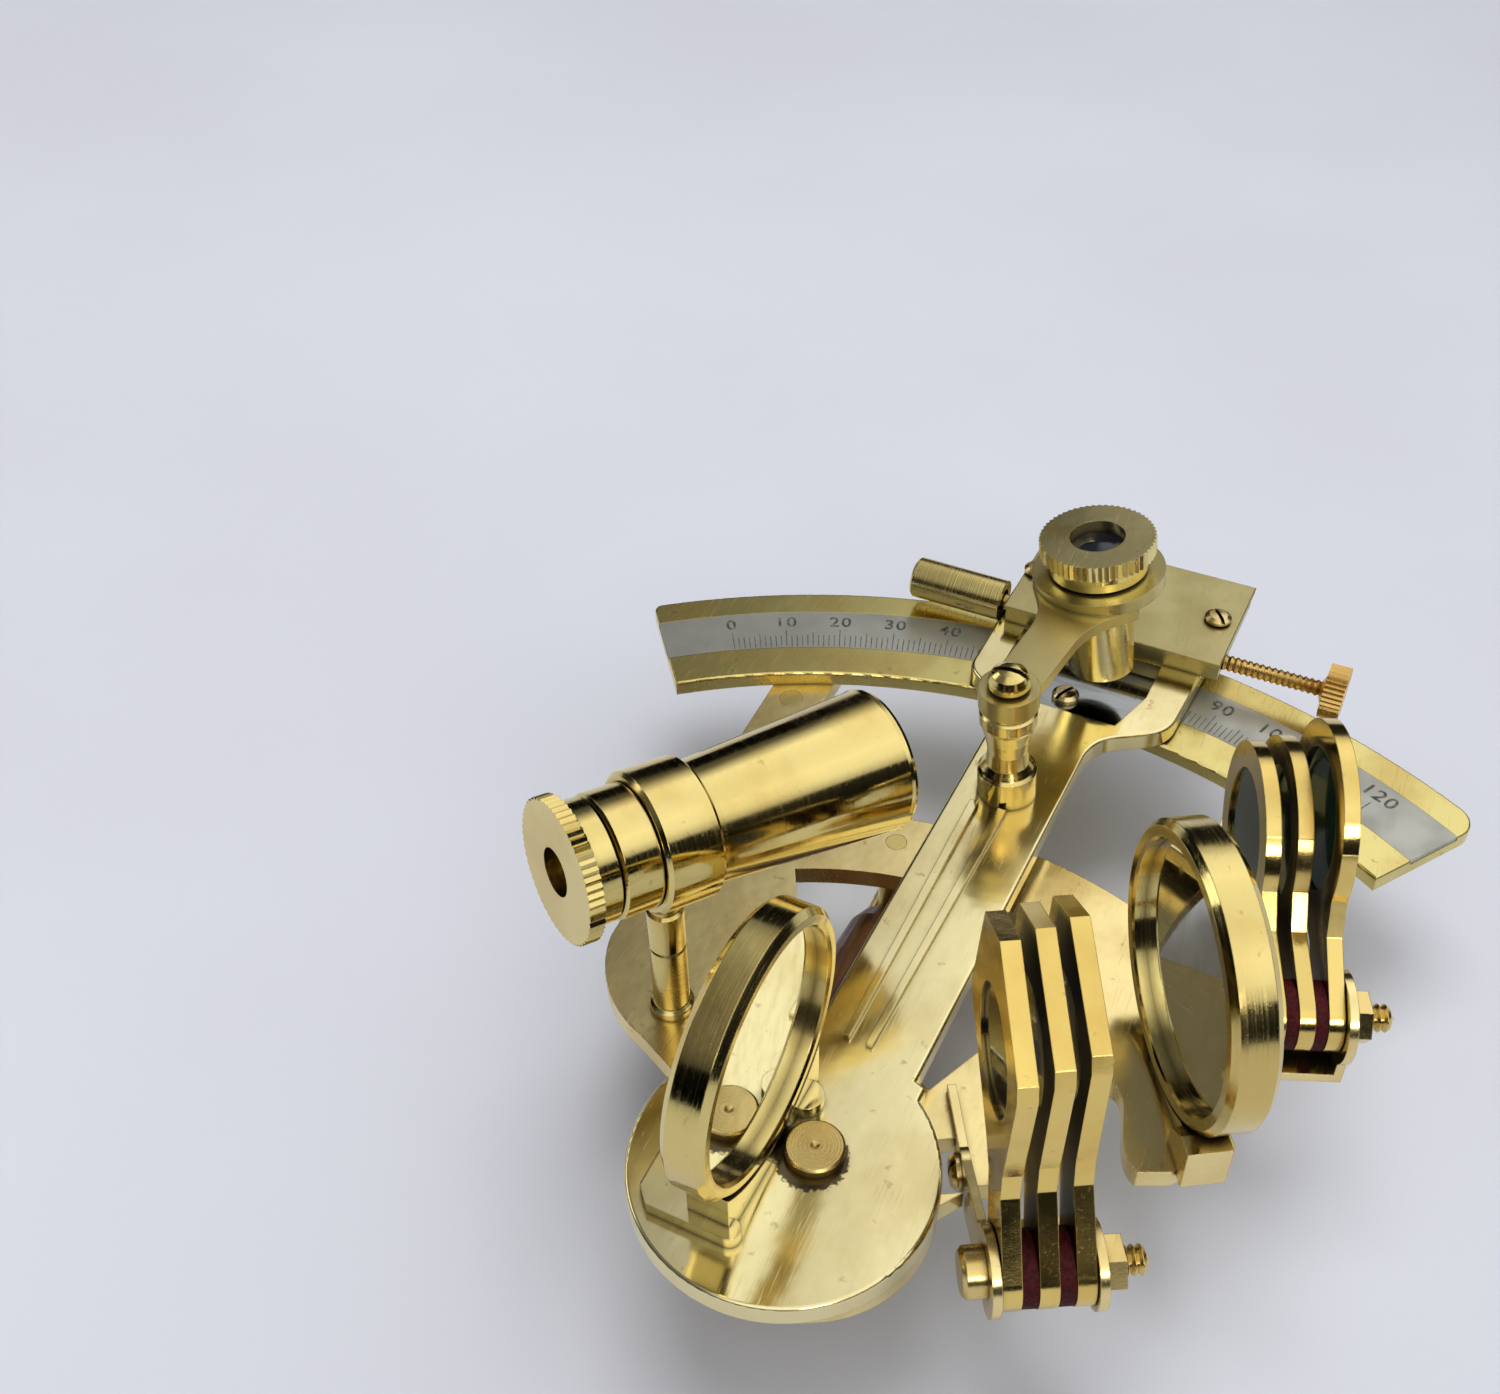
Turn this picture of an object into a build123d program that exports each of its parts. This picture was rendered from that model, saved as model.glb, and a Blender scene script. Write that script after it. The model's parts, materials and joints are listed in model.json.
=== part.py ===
from build123d import *
from math import cos, pi, radians, sin, sqrt
import os

# Small brass nautical sextant, in millimetres.
# The index pivot is the Z axis, +Y runs to the middle of the arc, and z = 0 is the
# surface on which the three feet stand.

# ---- driving dimensions -----------------------------------------------------------
FOOT_HEIGHT = 20.0          # underside of the frame
FRAME_THICKNESS = 2.5
LIMB_THICKNESS = 2.0
LIMB_OUTER = 95.0
LIMB_INNER = 77.3
LIMB_HALF_ANGLE = 36.4
SCALE_INNER = 82.9
SCALE_OUTER = 90.7
SCALE_DEPTH = 0.6
ARM_GAP = 0.4               # index arm over the limb
ARM_THICKNESS = 2.45
ARM_ANGLE = 2.9             # index arm at rest, clockwise from +Y
DISC_RADIUS = 15.8
PIVOT_RADIUS = 2.0
RUNNING_FIT = 0.05

FRAME_TOP = FOOT_HEIGHT + FRAME_THICKNESS
LIMB_TOP = FRAME_TOP + LIMB_THICKNESS
ARM_BOTTOM = LIMB_TOP + ARM_GAP
ARM_TOP = ARM_BOTTOM + ARM_THICKNESS

TELESCOPE_AT = (-23.1, 14.4, 49.55)
TELESCOPE_AZIMUTH = 34.8
TELESCOPE_DIP = 6.0
POST_RADIUS = 2.04
POST_SPLIT = 33.0

HORIZON_MIRROR_AT = (28.3, 26.3, 38.7)
HORIZON_MIRROR_AZIMUTH = 59.5
HORIZON_RING = (15.9, 13.8, 5.0)    # outer radius, bore radius, width
INDEX_RING = (14.4, 12.5, 4.5)
INDEX_MIRROR_AT = (-3.3, -2.0, 43.6)

SHADE_COUNT = 3
INDEX_STACK = (3.55, 1.9)       # shade spacing along the bolt, shade frame thickness
HORIZON_STACK = (3.0, 1.65)
EAR = 0.95                  # bracket ear thickness
BOLT_RADIUS = 1.53
INDEX_BOLT_AT = (20.08, -3.53, 24.5)
INDEX_BOLT_AZIMUTH = 62.0
INDEX_SHADE_LEAN = (25.0, 28.0, 31.0)
HORIZON_BOLT_AT = (37.3, 33.6, 28.7)
HORIZON_BOLT_AZIMUTH = 70.0
HORIZON_SHADE_LEAN = (73.0, 69.0, 52.0)
LOBE_AT = (13.0, -3.25)     # screw of the index shade bracket, behind and below the bolt
LOBE_PIN = 0.7
SHADE_HUB = 3.8
SCREW_RADIUS = 0.8          # shank of the small screws

TANGENT_V = 91.0            # tangent screw, distance from the pivot
TANGENT_Z = 28.55
COVER_TOP = 30.6
PILLAR_AT = (-0.8, 56.9)
PILLAR_LEAN = 3.7
PILLAR_LEAN_WAY = (-0.906, -0.424, 0)
TUBE_FOOT = (3.0, 81.1, 30.9)
TUBE_HEAD = (0.2, 80.8, 50.4)

os.makedirs("parts", exist_ok=True)


# ---- shared helpers ---------------------------------------------------------------
def heading(azimuth, rise=0.0):
    """Unit vector at an azimuth from +Y towards +X, rising above the horizontal."""
    a = radians(azimuth)
    r = radians(rise)
    return Vector(cos(r) * sin(a), cos(r) * cos(a), sin(r))


def arm_plane(height):
    """Plane whose x runs across the index arm and whose y runs along it."""
    return Plane(origin=(0, 0, height), x_dir=tuple(heading(ARM_ANGLE + 90)), z_dir=(0, 0, 1))


def arm_point(u, v, height):
    return arm_plane(height).from_local_coords(Vector(u, v, 0))


def turn(plane, outline, mode=Mode.ADD):
    """Revolve an outline of (radius, height) points about the plane's normal."""
    with BuildSketch(Plane(plane.origin, x_dir=plane.x_dir, z_dir=-plane.y_dir)) as profile:
        with BuildLine():
            Polyline(*outline, close=True)
        make_face()
    revolve(profile.sketch, axis=Axis(plane.origin, plane.z_dir), mode=mode)


def rod(plane, radius, start, end, mode=Mode.ADD):
    """Round bar along the plane's normal, from start to end."""
    turn(plane, [(0, start), (radius, start), (radius, end), (0, end)], mode)


def ring(plane, outer, inner, start, end, mode=Mode.ADD):
    turn(plane, [(inner, start), (outer, start), (outer, end), (inner, end)], mode)


def knurl(plane, radius, depth, teeth, start, end):
    """Disc with straight knurling on its rim."""
    step = pi / teeth
    rim = []
    for i in range(2 * teeth):
        r = radius - depth * (i % 2)
        rim.append((r * cos(i * step), r * sin(i * step)))
    with BuildSketch(plane.offset(start)) as toothed:
        with BuildLine():
            Polyline(*rim, close=True)
        make_face()
    extrude(toothed.sketch, amount=end - start)


def slot(plane, length, width, depth, mode=Mode.SUBTRACT):
    """Screwdriver slot cut down from the plane."""
    with BuildSketch(plane) as cut:
        Rectangle(length, width)
    extrude(cut.sketch, amount=-depth, mode=mode)


def thread(root, crest, pitch, start, end):
    """Outline of a threaded length, as ridges between two heights."""
    turns = int((end - start) / pitch)
    points = []
    for i in range(turns):
        points.append((root, start + i * pitch))
        points.append((crest, start + (i + 0.5) * pitch))
    points.append((root, start + turns * pitch))
    return points


def save(piece, name):
    piece.part.label = name
    export_step(piece.part, f"parts/{name}.step")


FLAT = Plane.XY

# ---- frame plate ------------------------------------------------------------------
STRIP_OUTER = 34.6
STRIP_INNER = 27.0
STRIP_END = 88.0            # radius where the side strips stop under the limb
WEB_OUTER = 52.8
WEB_INNER = 43.0
WINDOW_HALF_ANGLE = 25.5
APEX_RADIUS = 14.5
FOOT_AT = [(-31.3, 67.6), (31.3, 67.6)]
FOOT_STUD = 1.6
BUSH_RADIUS = 4.0
LIMB_SCREWS = [(-29.5, 74.9), (29.5, 74.9), (-32.6, 79.4), (32.6, 79.4)]
LIMB_SCREW_HEAD = 1.7
HANDLE_POST = (-8.8, 47.8)
APEX_FOOT = (-8.8, 11.6)     # third foot, which also carries the near end of the handle
HANDLE_STUD = 1.3

index_bolt = Plane(origin=INDEX_BOLT_AT, x_dir=tuple(heading(INDEX_BOLT_AZIMUTH - 90)),
                   z_dir=tuple(heading(INDEX_BOLT_AZIMUTH)))
horizon_bolt = Plane(origin=HORIZON_BOLT_AT, x_dir=tuple(heading(HORIZON_BOLT_AZIMUTH - 90)),
                     z_dir=tuple(heading(HORIZON_BOLT_AZIMUTH)))


def beside(bolt, back, along):
    """Place in the horizontal plane, behind a shade bolt and along it."""
    point = bolt.origin + bolt.x_dir * back + bolt.z_dir * along
    return (point.X, point.Y)


LUG_FACE = -0.1             # face on the frame that takes the index shade bracket
lug_front = beside(index_bolt, 10.4, LUG_FACE)
lug_outer = beside(index_bolt, 10.4, 2.4)

with BuildPart() as frame_plate:
    with BuildSketch(Plane.XY.offset(FOOT_HEIGHT)):
        with BuildLine():
            left_end = (-STRIP_OUTER, sqrt(STRIP_END ** 2 - STRIP_OUTER ** 2))
            left_in = (-STRIP_INNER, sqrt(STRIP_END ** 2 - STRIP_INNER ** 2))
            right_in = (STRIP_INNER, left_in[1])
            right_end = (STRIP_OUTER, left_end[1])
            web_left = (-STRIP_INNER, sqrt(WEB_OUTER ** 2 - STRIP_INNER ** 2))
            web_right = (STRIP_INNER, web_left[1])
            Line(left_end, left_in)
            Line(left_in, web_left)
            ThreePointArc(web_left, (0, WEB_OUTER), web_right)
            Line(web_right, right_in)
            Line(right_in, right_end)
            Line(right_end, (34.4, 19.5))
            ThreePointArc((34.4, 19.5), (34.2, 16.9), (33.0, 15.1))
            Line((33.0, 15.1), (29.8, 13.7))
            Spline((29.8, 13.7), (27.5, 17.0), (24.9, 23.2), (21.6, 22.0), (18.0, 16.0))
            Line((18.0, 16.0), lug_outer)
            Line(lug_outer, lug_front)
            Line(lug_front, (12.6, 2.0))
            ThreePointArc((12.6, 2.0), (0, -APEX_RADIUS), (-13.4, 3.4))
            Spline((-13.4, 3.4), (-18.5, 6.0), (-24.5, 9.2))
            ThreePointArc((-24.5, 9.2), (-31.1, 13.9), (-34.2, 20.8))
            Line((-34.2, 20.8), left_end)
        make_face()
        with BuildSketch(mode=Mode.PRIVATE) as window:
            with BuildLine():
                a = radians(WINDOW_HALF_ANGLE)
                low = (16.5 * sin(a), 16.5 * cos(a))
                high = (WEB_INNER * sin(a), WEB_INNER * cos(a))
                ThreePointArc((-low[0], low[1]), (0, 16.5), low)
                Line(low, high)
                ThreePointArc(high, (0, WEB_INNER), (-high[0], high[1]))
                Line((-high[0], high[1]), (-low[0], low[1]))
            make_face()
        add(window.sketch, mode=Mode.SUBTRACT)
        Circle(BUSH_RADIUS, mode=Mode.SUBTRACT)
        with Locations(*FOOT_AT):
            Circle(FOOT_STUD, mode=Mode.SUBTRACT)
        with Locations(HANDLE_POST, APEX_FOOT):
            Circle(HANDLE_STUD, mode=Mode.SUBTRACT)
        with Locations(*LIMB_SCREWS):
            Circle(SCREW_RADIUS, mode=Mode.SUBTRACT)
        with Locations(TELESCOPE_AT[:2]):
            Circle(1.3, mode=Mode.SUBTRACT)
    extrude(amount=FRAME_THICKNESS)
    with Locations(*[Location((x, y, FOOT_HEIGHT), (180, 0, 0)) for x, y in LIMB_SCREWS]):
        CounterSinkHole(SCREW_RADIUS, LIMB_SCREW_HEAD, depth=FRAME_THICKNESS)
    with BuildSketch(index_bolt.offset(LUG_FACE)) as relief:
        with Locations((13.0, -3.0)):
            Rectangle(6.4, 8.0)
    extrude(relief.sketch, amount=-4.6, mode=Mode.SUBTRACT)
    lobe_pin = Plane(origin=index_bolt.from_local_coords(Vector(*LOBE_AT, 0)),
                     x_dir=index_bolt.x_dir, z_dir=index_bolt.z_dir)
    rod(lobe_pin, LOBE_PIN, LUG_FACE - 0.1, 2.2, Mode.SUBTRACT)
save(frame_plate, "frame_plate")

# ---- limb, scale and their screws -------------------------------------------------
with BuildPart() as limb:
    with BuildSketch(Plane.XY.offset(FRAME_TOP)):
        with BuildLine():
            a = radians(LIMB_HALF_ANGLE)
            inner_end = (LIMB_INNER * sin(a), LIMB_INNER * cos(a))
            outer_end = (LIMB_OUTER * sin(a), LIMB_OUTER * cos(a))
            ThreePointArc((-inner_end[0], inner_end[1]), (0, LIMB_INNER), inner_end)
            Line(inner_end, outer_end)
            ThreePointArc(outer_end, (0, LIMB_OUTER), (-outer_end[0], outer_end[1]))
            Line((-outer_end[0], outer_end[1]), (-inner_end[0], inner_end[1]))
        make_face()
    extrude(amount=LIMB_THICKNESS)
    corners = limb.edges().filter_by(Axis.Z).sort_by(Axis.X)
    fillet(corners[-1:], 3.2)
    fillet(corners[:1], 1.2)
    fillet(limb.faces().sort_by(Axis.Z)[-1].edges(), 0.35)
    with BuildSketch(Plane.XY.offset(LIMB_TOP)) as band:
        with BuildLine():
            a = radians(LIMB_HALF_ANGLE + 2)
            b_in = (SCALE_INNER * sin(a), SCALE_INNER * cos(a))
            b_out = (SCALE_OUTER * sin(a), SCALE_OUTER * cos(a))
            ThreePointArc((-b_in[0], b_in[1]), (0, SCALE_INNER), b_in)
            Line(b_in, b_out)
            ThreePointArc(b_out, (0, SCALE_OUTER), (-b_out[0], b_out[1]))
            Line((-b_out[0], b_out[1]), (-b_in[0], b_in[1]))
        make_face()
    extrude(band.sketch, amount=-SCALE_DEPTH, mode=Mode.SUBTRACT)
    with Locations(*[(x, y, FRAME_TOP) for x, y in LIMB_SCREWS]):
        Cylinder(SCREW_RADIUS, LIMB_THICKNESS + 0.2, mode=Mode.SUBTRACT)
save(limb, "limb")

with BuildPart() as scale_strip:
    with BuildSketch(Plane.XY.offset(LIMB_TOP - SCALE_DEPTH)):
        with BuildLine():
            a = radians(LIMB_HALF_ANGLE - 0.05)
            s_in = (SCALE_INNER * sin(a), SCALE_INNER * cos(a))
            s_out = (SCALE_OUTER * sin(a), SCALE_OUTER * cos(a))
            ThreePointArc((-s_in[0], s_in[1]), (0, SCALE_INNER), s_in)
            Line(s_in, s_out)
            ThreePointArc(s_out, (0, SCALE_OUTER), (-s_out[0], s_out[1]))
            Line((-s_out[0], s_out[1]), (-s_in[0], s_in[1]))
        make_face()
    extrude(amount=SCALE_DEPTH)
save(scale_strip, "scale_strip")

with BuildPart() as limb_screws:
    for x, y in LIMB_SCREWS:
        place = Plane(origin=(x, y, FOOT_HEIGHT))
        turn(place, [(0, 0), (LIMB_SCREW_HEAD, 0), (SCREW_RADIUS, 0.9), (SCREW_RADIUS, 3.6), (0, 3.6)])
        slot(Plane(origin=(x, y, FOOT_HEIGHT + 0.4)), 3.6, 0.4, 0.4)
save(limb_screws, "limb_screws")

# ---- feet -------------------------------------------------------------------------
with BuildPart() as limb_feet:
    for x, y in FOOT_AT:
        turn(Plane(origin=(x, y, 0)),
             [(0, 0), (2.6, 0), (3.0, 0.4), (3.0, 3.0), (2.3, 4.0), (2.3, 17.0), (3.2, 18.0),
              (3.2, FOOT_HEIGHT), (FOOT_STUD, FOOT_HEIGHT), (FOOT_STUD, FRAME_TOP), (0, FRAME_TOP)])
save(limb_feet, "limb_feet")

# ---- handle under the frame -------------------------------------------------------
GRIP_Z = 9.0
GRIP_ROD = 1.3
grip_axis = Plane(origin=(HANDLE_POST[0], 0, GRIP_Z), x_dir=(0, 0, 1), z_dir=(0, 1, 0))
with BuildPart() as handle_post:
    turn(Plane(origin=(HANDLE_POST[0], HANDLE_POST[1], 0)),
         [(0, GRIP_Z), (1.9, GRIP_Z), (1.9, 17.5), (2.7, 18.6), (2.7, FOOT_HEIGHT),
          (HANDLE_STUD, FOOT_HEIGHT), (HANDLE_STUD, FRAME_TOP), (0, FRAME_TOP)])
    rod(grip_axis, 3.2, HANDLE_POST[1] - 2.2, HANDLE_POST[1] + 2.2)
    rod(grip_axis, GRIP_ROD, 8.0, 52.0, Mode.SUBTRACT)
save(handle_post, "handle_post")

with BuildPart() as apex_foot:
    turn(Plane(origin=(APEX_FOOT[0], APEX_FOOT[1], 0)),
         [(0, 0), (2.6, 0), (3.0, 0.4), (3.0, 3.0), (2.2, 4.0), (2.2, 17.5), (2.7, 18.6),
          (2.7, FOOT_HEIGHT), (HANDLE_STUD, FOOT_HEIGHT), (HANDLE_STUD, FRAME_TOP), (0, FRAME_TOP)])
    rod(grip_axis, 3.2, APEX_FOOT[1] - 2.2, APEX_FOOT[1] + 2.2)
    rod(grip_axis, GRIP_ROD, 8.0, 52.0, Mode.SUBTRACT)
save(apex_foot, "apex_foot")

with BuildPart() as handle_rod:
    turn(grip_axis, [(0, 8.0), (2.4, 8.0), (2.4, 9.4), (GRIP_ROD, 9.4), (GRIP_ROD, 50.0), (2.4, 50.0),
                     (2.4, 51.4), (0, 51.4)])
save(handle_rod, "handle_rod")

with BuildPart() as handle_grip:
    turn(grip_axis, [(GRIP_ROD, 13.8), (3.6, 13.8), (4.4, 15.8), (4.9, 22.5), (4.9, 37.0),
                     (4.4, 43.5), (3.6, 45.6), (GRIP_ROD, 45.6)])
save(handle_grip, "handle_grip")

# ---- index pivot ------------------------------------------------------------------
with BuildPart() as pivot_bush:
    turn(FLAT, [(PIVOT_RADIUS + RUNNING_FIT, 17.6), (4.4, 17.6), (4.4, FOOT_HEIGHT),
                (BUSH_RADIUS, FOOT_HEIGHT), (BUSH_RADIUS, FRAME_TOP), (8.0, FRAME_TOP),
                (8.0, ARM_BOTTOM - 0.03), (PIVOT_RADIUS + RUNNING_FIT, ARM_BOTTOM - 0.03)])
save(pivot_bush, "pivot_bush")

STUD_RADIUS = 2.6
with BuildPart() as pivot_shaft:
    turn(FLAT, [(0, 14.6), (1.6, 14.6), (1.6, 17.5), (PIVOT_RADIUS, 17.5), (PIVOT_RADIUS, ARM_BOTTOM),
                (STUD_RADIUS, ARM_BOTTOM), (STUD_RADIUS, ARM_TOP), (3.1, ARM_TOP), (3.1, 28.35),
                (2.85, 28.6), (0.5, 28.6), (0, 28.25)])
save(pivot_shaft, "pivot_shaft")

with BuildPart() as pivot_nut:
    with BuildSketch(Plane.XY.offset(15.2)):
        RegularPolygon(3.5, 6)
        Circle(1.6, mode=Mode.SUBTRACT)
    extrude(amount=2.3)
save(pivot_nut, "pivot_nut")

# ---- index arm --------------------------------------------------------------------
arm_base = arm_plane(ARM_BOTTOM)
arm_face = arm_plane(ARM_TOP)
PILLAR_TENON = 1.5
ARM_WINDOW = [(-7.5, 74.0), (7.5, 74.0), (9.5, 81.0), (9.5, 88.0), (-9.7, 88.0), (-9.7, 81.0)]
VERNIER_END = 84.6          # edge with the divisions, distance from the pivot
VERNIER_SCREW_AT = (-0.4, 78.3)
VERNIER_THICKNESS = 0.9
CLAMP_V = 99.6
COVER_SCREWS = [(14.2, 96.6), (-11.3, 96.6)]

with BuildPart() as index_arm:
    with BuildSketch(arm_base) as arm_outline:
        with Locations((-2.36, -2.39)):
            Circle(DISC_RADIUS)
        with BuildLine():
            Line((-6.5, 0), (-6.9, 70.2))
            Spline((-6.9, 70.2), (-8.0, 72.9), (-11.4, 75.4), (-13.6, 79.6), tangents=[(0, 1), (0.1, 1)])
            Line((-13.6, 79.6), (-13.9, 106.0))
            Line((-13.9, 106.0), (15.6, 106.0))
            Line((15.6, 106.0), (14.3, 79.4))
            Spline((14.3, 79.4), (12.6, 75.0), (7.6, 71.4), (5.8, 67.0), tangents=[(0, -1), (-0.1, -1)])
            Line((5.8, 67.0), (5.8, 12.4))
            Line((5.8, 12.4), (7.0, 12.0))
            Line((7.0, 12.0), (7.0, 0))
            Line((7.0, 0), (-6.5, 0))
        make_face()
    extrude(arm_outline.sketch, amount=ARM_THICKNESS)
    fillet(index_arm.faces().sort_by(Axis.Z)[-1].edges(), 0.4)
    with BuildSketch(arm_base) as cuts:
        Circle(STUD_RADIUS)
        with Locations(PILLAR_AT):
            Circle(PILLAR_TENON)
        with BuildLine():
            Polyline(*ARM_WINDOW, close=True)
        make_face()
    extrude(cuts.sketch, amount=ARM_THICKNESS, mode=Mode.SUBTRACT)
    for u_far, u_near in ((-3.5, -2.9), (0.0, -0.3)):
        with BuildSketch(arm_face) as rib:
            with BuildLine():
                Polyline((u_far - 0.55, 52.9), (u_far + 0.55, 52.9), (u_near + 0.35, 14.0),
                         (u_near - 0.35, 14.0), close=True)
            make_face()
        extrude(rib.sketch, amount=0.7)
save(index_arm, "index_arm")

with BuildPart() as vernier_plate:
    with BuildSketch(arm_plane(ARM_BOTTOM)):
        with BuildLine():
            near = ARM_WINDOW[:3]
            far = ARM_WINDOW[5:]
            Polyline(*near, (near[-1][0], VERNIER_END), (far[0][0], VERNIER_END), *far, close=True)
        make_face()
        with Locations(VERNIER_SCREW_AT):
            Circle(SCREW_RADIUS, mode=Mode.SUBTRACT)
    extrude(amount=VERNIER_THICKNESS)
save(vernier_plate, "vernier_plate")

with BuildPart() as vernier_screw:
    place = Plane(origin=arm_point(*VERNIER_SCREW_AT, ARM_BOTTOM), x_dir=tuple(heading(30)), z_dir=(0, 0, 1))
    turn(place, [(0, 0.05), (SCREW_RADIUS, 0.05), (SCREW_RADIUS, VERNIER_THICKNESS),
                 (1.75, VERNIER_THICKNESS), (1.75, 1.5), (1.3, 1.95), (0, 2.1)])
    slot(place.offset(2.1), 4.0, 0.45, 0.7)
save(vernier_screw, "vernier_screw")

# ---- tangent screw housing and clamp ----------------------------------------------
BLOCK_TOP = COVER_TOP - 0.7
channel = Plane(origin=arm_point(0, TANGENT_V, TANGENT_Z), x_dir=(0, 0, 1),
                z_dir=tuple(heading(ARM_ANGLE + 90)))
CHANNEL_RADIUS = 1.15
COVER_FRONT = 87.5
JAW = (16.0, 89.2, 104.6)   # width, near and far edge
HOUSING_BACK = 106.0
with BuildPart() as tangent_block:
    with BuildSketch(arm_face):
        with BuildLine():
            Polyline((-12.7, 88.3), (16.8, 88.3), (16.8, HOUSING_BACK), (-12.7, HOUSING_BACK), close=True)
        make_face()
    extrude(amount=BLOCK_TOP - ARM_TOP)
    rod(channel, CHANNEL_RADIUS, -14.0, 18.0, Mode.SUBTRACT)
    for u, v in COVER_SCREWS:
        rod(Plane(origin=arm_point(u, v, ARM_TOP)), SCREW_RADIUS, 0.3, 3.0, Mode.SUBTRACT)
save(tangent_block, "tangent_block")

with BuildPart() as tangent_cover:
    with BuildSketch(arm_plane(BLOCK_TOP)):
        with BuildLine():
            Polyline((-12.8, COVER_FRONT), (17.0, COVER_FRONT), (17.1, HOUSING_BACK),
                     (-12.8, HOUSING_BACK), close=True)
        make_face()
        with Locations(*COVER_SCREWS):
            Circle(SCREW_RADIUS, mode=Mode.SUBTRACT)
    extrude(amount=COVER_TOP - BLOCK_TOP)
    chamfer(tangent_cover.faces().sort_by(Axis.Z)[-1].edges().sort_by(SortBy.LENGTH)[-4:], 0.12)
save(tangent_cover, "tangent_cover")

with BuildPart() as cover_screws:
    for u, v in COVER_SCREWS:
        place = Plane(origin=arm_point(u, v, BLOCK_TOP), x_dir=tuple(heading(-35)), z_dir=(0, 0, 1))
        turn(place, [(0, -1.9), (SCREW_RADIUS, -1.9), (SCREW_RADIUS, 1.0), (1.75, 1.0), (1.75, 1.35),
                     (1.2, 1.75), (0, 1.9)])
        slot(place.offset(1.9), 4.0, 0.45, 0.6)
save(cover_screws, "cover_screws")

with BuildPart() as spring_barrel:
    turn(channel, [(0, -27.0), (2.6, -27.0), (2.85, -26.7), (2.85, -13.9), (1.6, -13.9), (1.6, -25.5),
                   (0, -25.5)])
save(spring_barrel, "spring_barrel")

with BuildPart() as spring_plunger:
    turn(channel, [(0, -24.0), (1.5, -24.0), (1.5, -14.6), (1.05, -14.3), (1.05, -2.0), (0, -1.6)])
save(spring_plunger, "spring_plunger")

with BuildPart() as tangent_screw:
    turn(channel, [(0, -1.0)] + thread(0.85, 1.1, 0.8, -1.0, 29.8)
         + [(2.0, 29.9), (2.0, 30.0), (0, 30.0)])
    knurl(channel, 3.6, 0.25, 34, 30.0, 32.6)
save(tangent_screw, "tangent_screw")

JAW_UNDERSIDE = 21.0
with BuildPart() as clamp_jaw:
    with BuildSketch(arm_plane(JAW_UNDERSIDE)):
        with Locations((0, (JAW[1] + JAW[2]) / 2)):
            Rectangle(JAW[0], JAW[2] - JAW[1])
    extrude(amount=1.2)
    with BuildSketch(arm_plane(JAW_UNDERSIDE)):
        with Locations((0, JAW[2] - 4.5)):
            Rectangle(JAW[0], 9.0)
    extrude(amount=ARM_BOTTOM - JAW_UNDERSIDE)
    rod(Plane(origin=arm_point(0, CLAMP_V, 0)), 1.25, 20.0, 26.0, Mode.SUBTRACT)
save(clamp_jaw, "clamp_jaw")

with BuildPart() as clamp_screw:
    place = Plane(origin=arm_point(0, CLAMP_V, 0))
    rod(place, 1.2, 16.5, 24.6)
    turn(place, [(0, 16.5), (2.6, 16.5), (2.6, 20.9), (1.2, 20.9), (0, 20.9)])
    knurl(place, 4.2, 0.25, 36, 13.4, 16.5)
save(clamp_screw, "clamp_screw")

# ---- index mirror -----------------------------------------------------------------
index_mirror = Plane(origin=arm_point(*INDEX_MIRROR_AT), x_dir=tuple(heading(ARM_ANGLE + 180)),
                     z_dir=tuple(heading(ARM_ANGLE - 90)))
horizon_mirror = Plane(origin=HORIZON_MIRROR_AT, x_dir=tuple(heading(HORIZON_MIRROR_AZIMUTH - 90)),
                       z_dir=tuple(heading(HORIZON_MIRROR_AZIMUTH)))
GLASS_FRONT = 1.5
GLASS_BACK = 3.3


def mirror_cell(plane, size):
    """Turned ring whose rear lip carries a glass disc."""
    outer, bore, width = size
    turn(plane, [(bore, 0.3), (bore + 0.3, 0), (outer - 0.7, 0), (outer, 0.7), (outer, width - 0.7),
                 (outer - 0.7, width), (bore - 0.8, width), (bore - 0.8, GLASS_BACK), (bore, GLASS_BACK)])


with BuildPart() as index_mirror_cell:
    mirror_cell(index_mirror, INDEX_RING)
save(index_mirror_cell, "index_mirror_cell")

with BuildPart() as index_mirror_glass:
    rod(index_mirror, INDEX_RING[1], GLASS_FRONT, GLASS_BACK)
save(index_mirror_glass, "index_mirror_glass")

BRACKET_PLATE = 1.5
with BuildPart() as index_mirror_foot:
    with BuildSketch(arm_face) as foot_outline:
        with BuildLine():
            Polyline((-13.5, -11.4), (-11.8, -13.3), (-3.3, -13.3), (-3.3, 8.0), (-9.0, 8.0),
                     (-13.9, 2.0), close=True)
        make_face()
        with Locations((-3.3, 4.9)):
            Circle(1.9)
        with Locations((-3.3, -12.1)):
            Circle(1.2)
    extrude(foot_outline.sketch, amount=BRACKET_PLATE)
    fillet(index_mirror_foot.faces().sort_by(Axis.Z)[-1].edges().sort_by(SortBy.LENGTH)[-2:], 0.3)
    with BuildSketch(index_mirror) as saddle:
        with Locations((0, ARM_TOP + 4.2 - INDEX_MIRROR_AT[2])):
            Rectangle(20.0, 6.0)
    extrude(saddle.sketch, amount=INDEX_RING[2])
    rod(index_mirror, INDEX_RING[0], -1.0, INDEX_RING[2] + 1.0, Mode.SUBTRACT)
save(index_mirror_foot, "index_mirror_foot")

# ---- horizon mirror ---------------------------------------------------------------
with BuildPart() as horizon_mirror_cell:
    mirror_cell(horizon_mirror, HORIZON_RING)
save(horizon_mirror_cell, "horizon_mirror_cell")

with BuildPart() as horizon_mirror_glass:
    rod(horizon_mirror, HORIZON_RING[1], GLASS_FRONT, GLASS_BACK)
save(horizon_mirror_glass, "horizon_mirror_glass")

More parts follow.
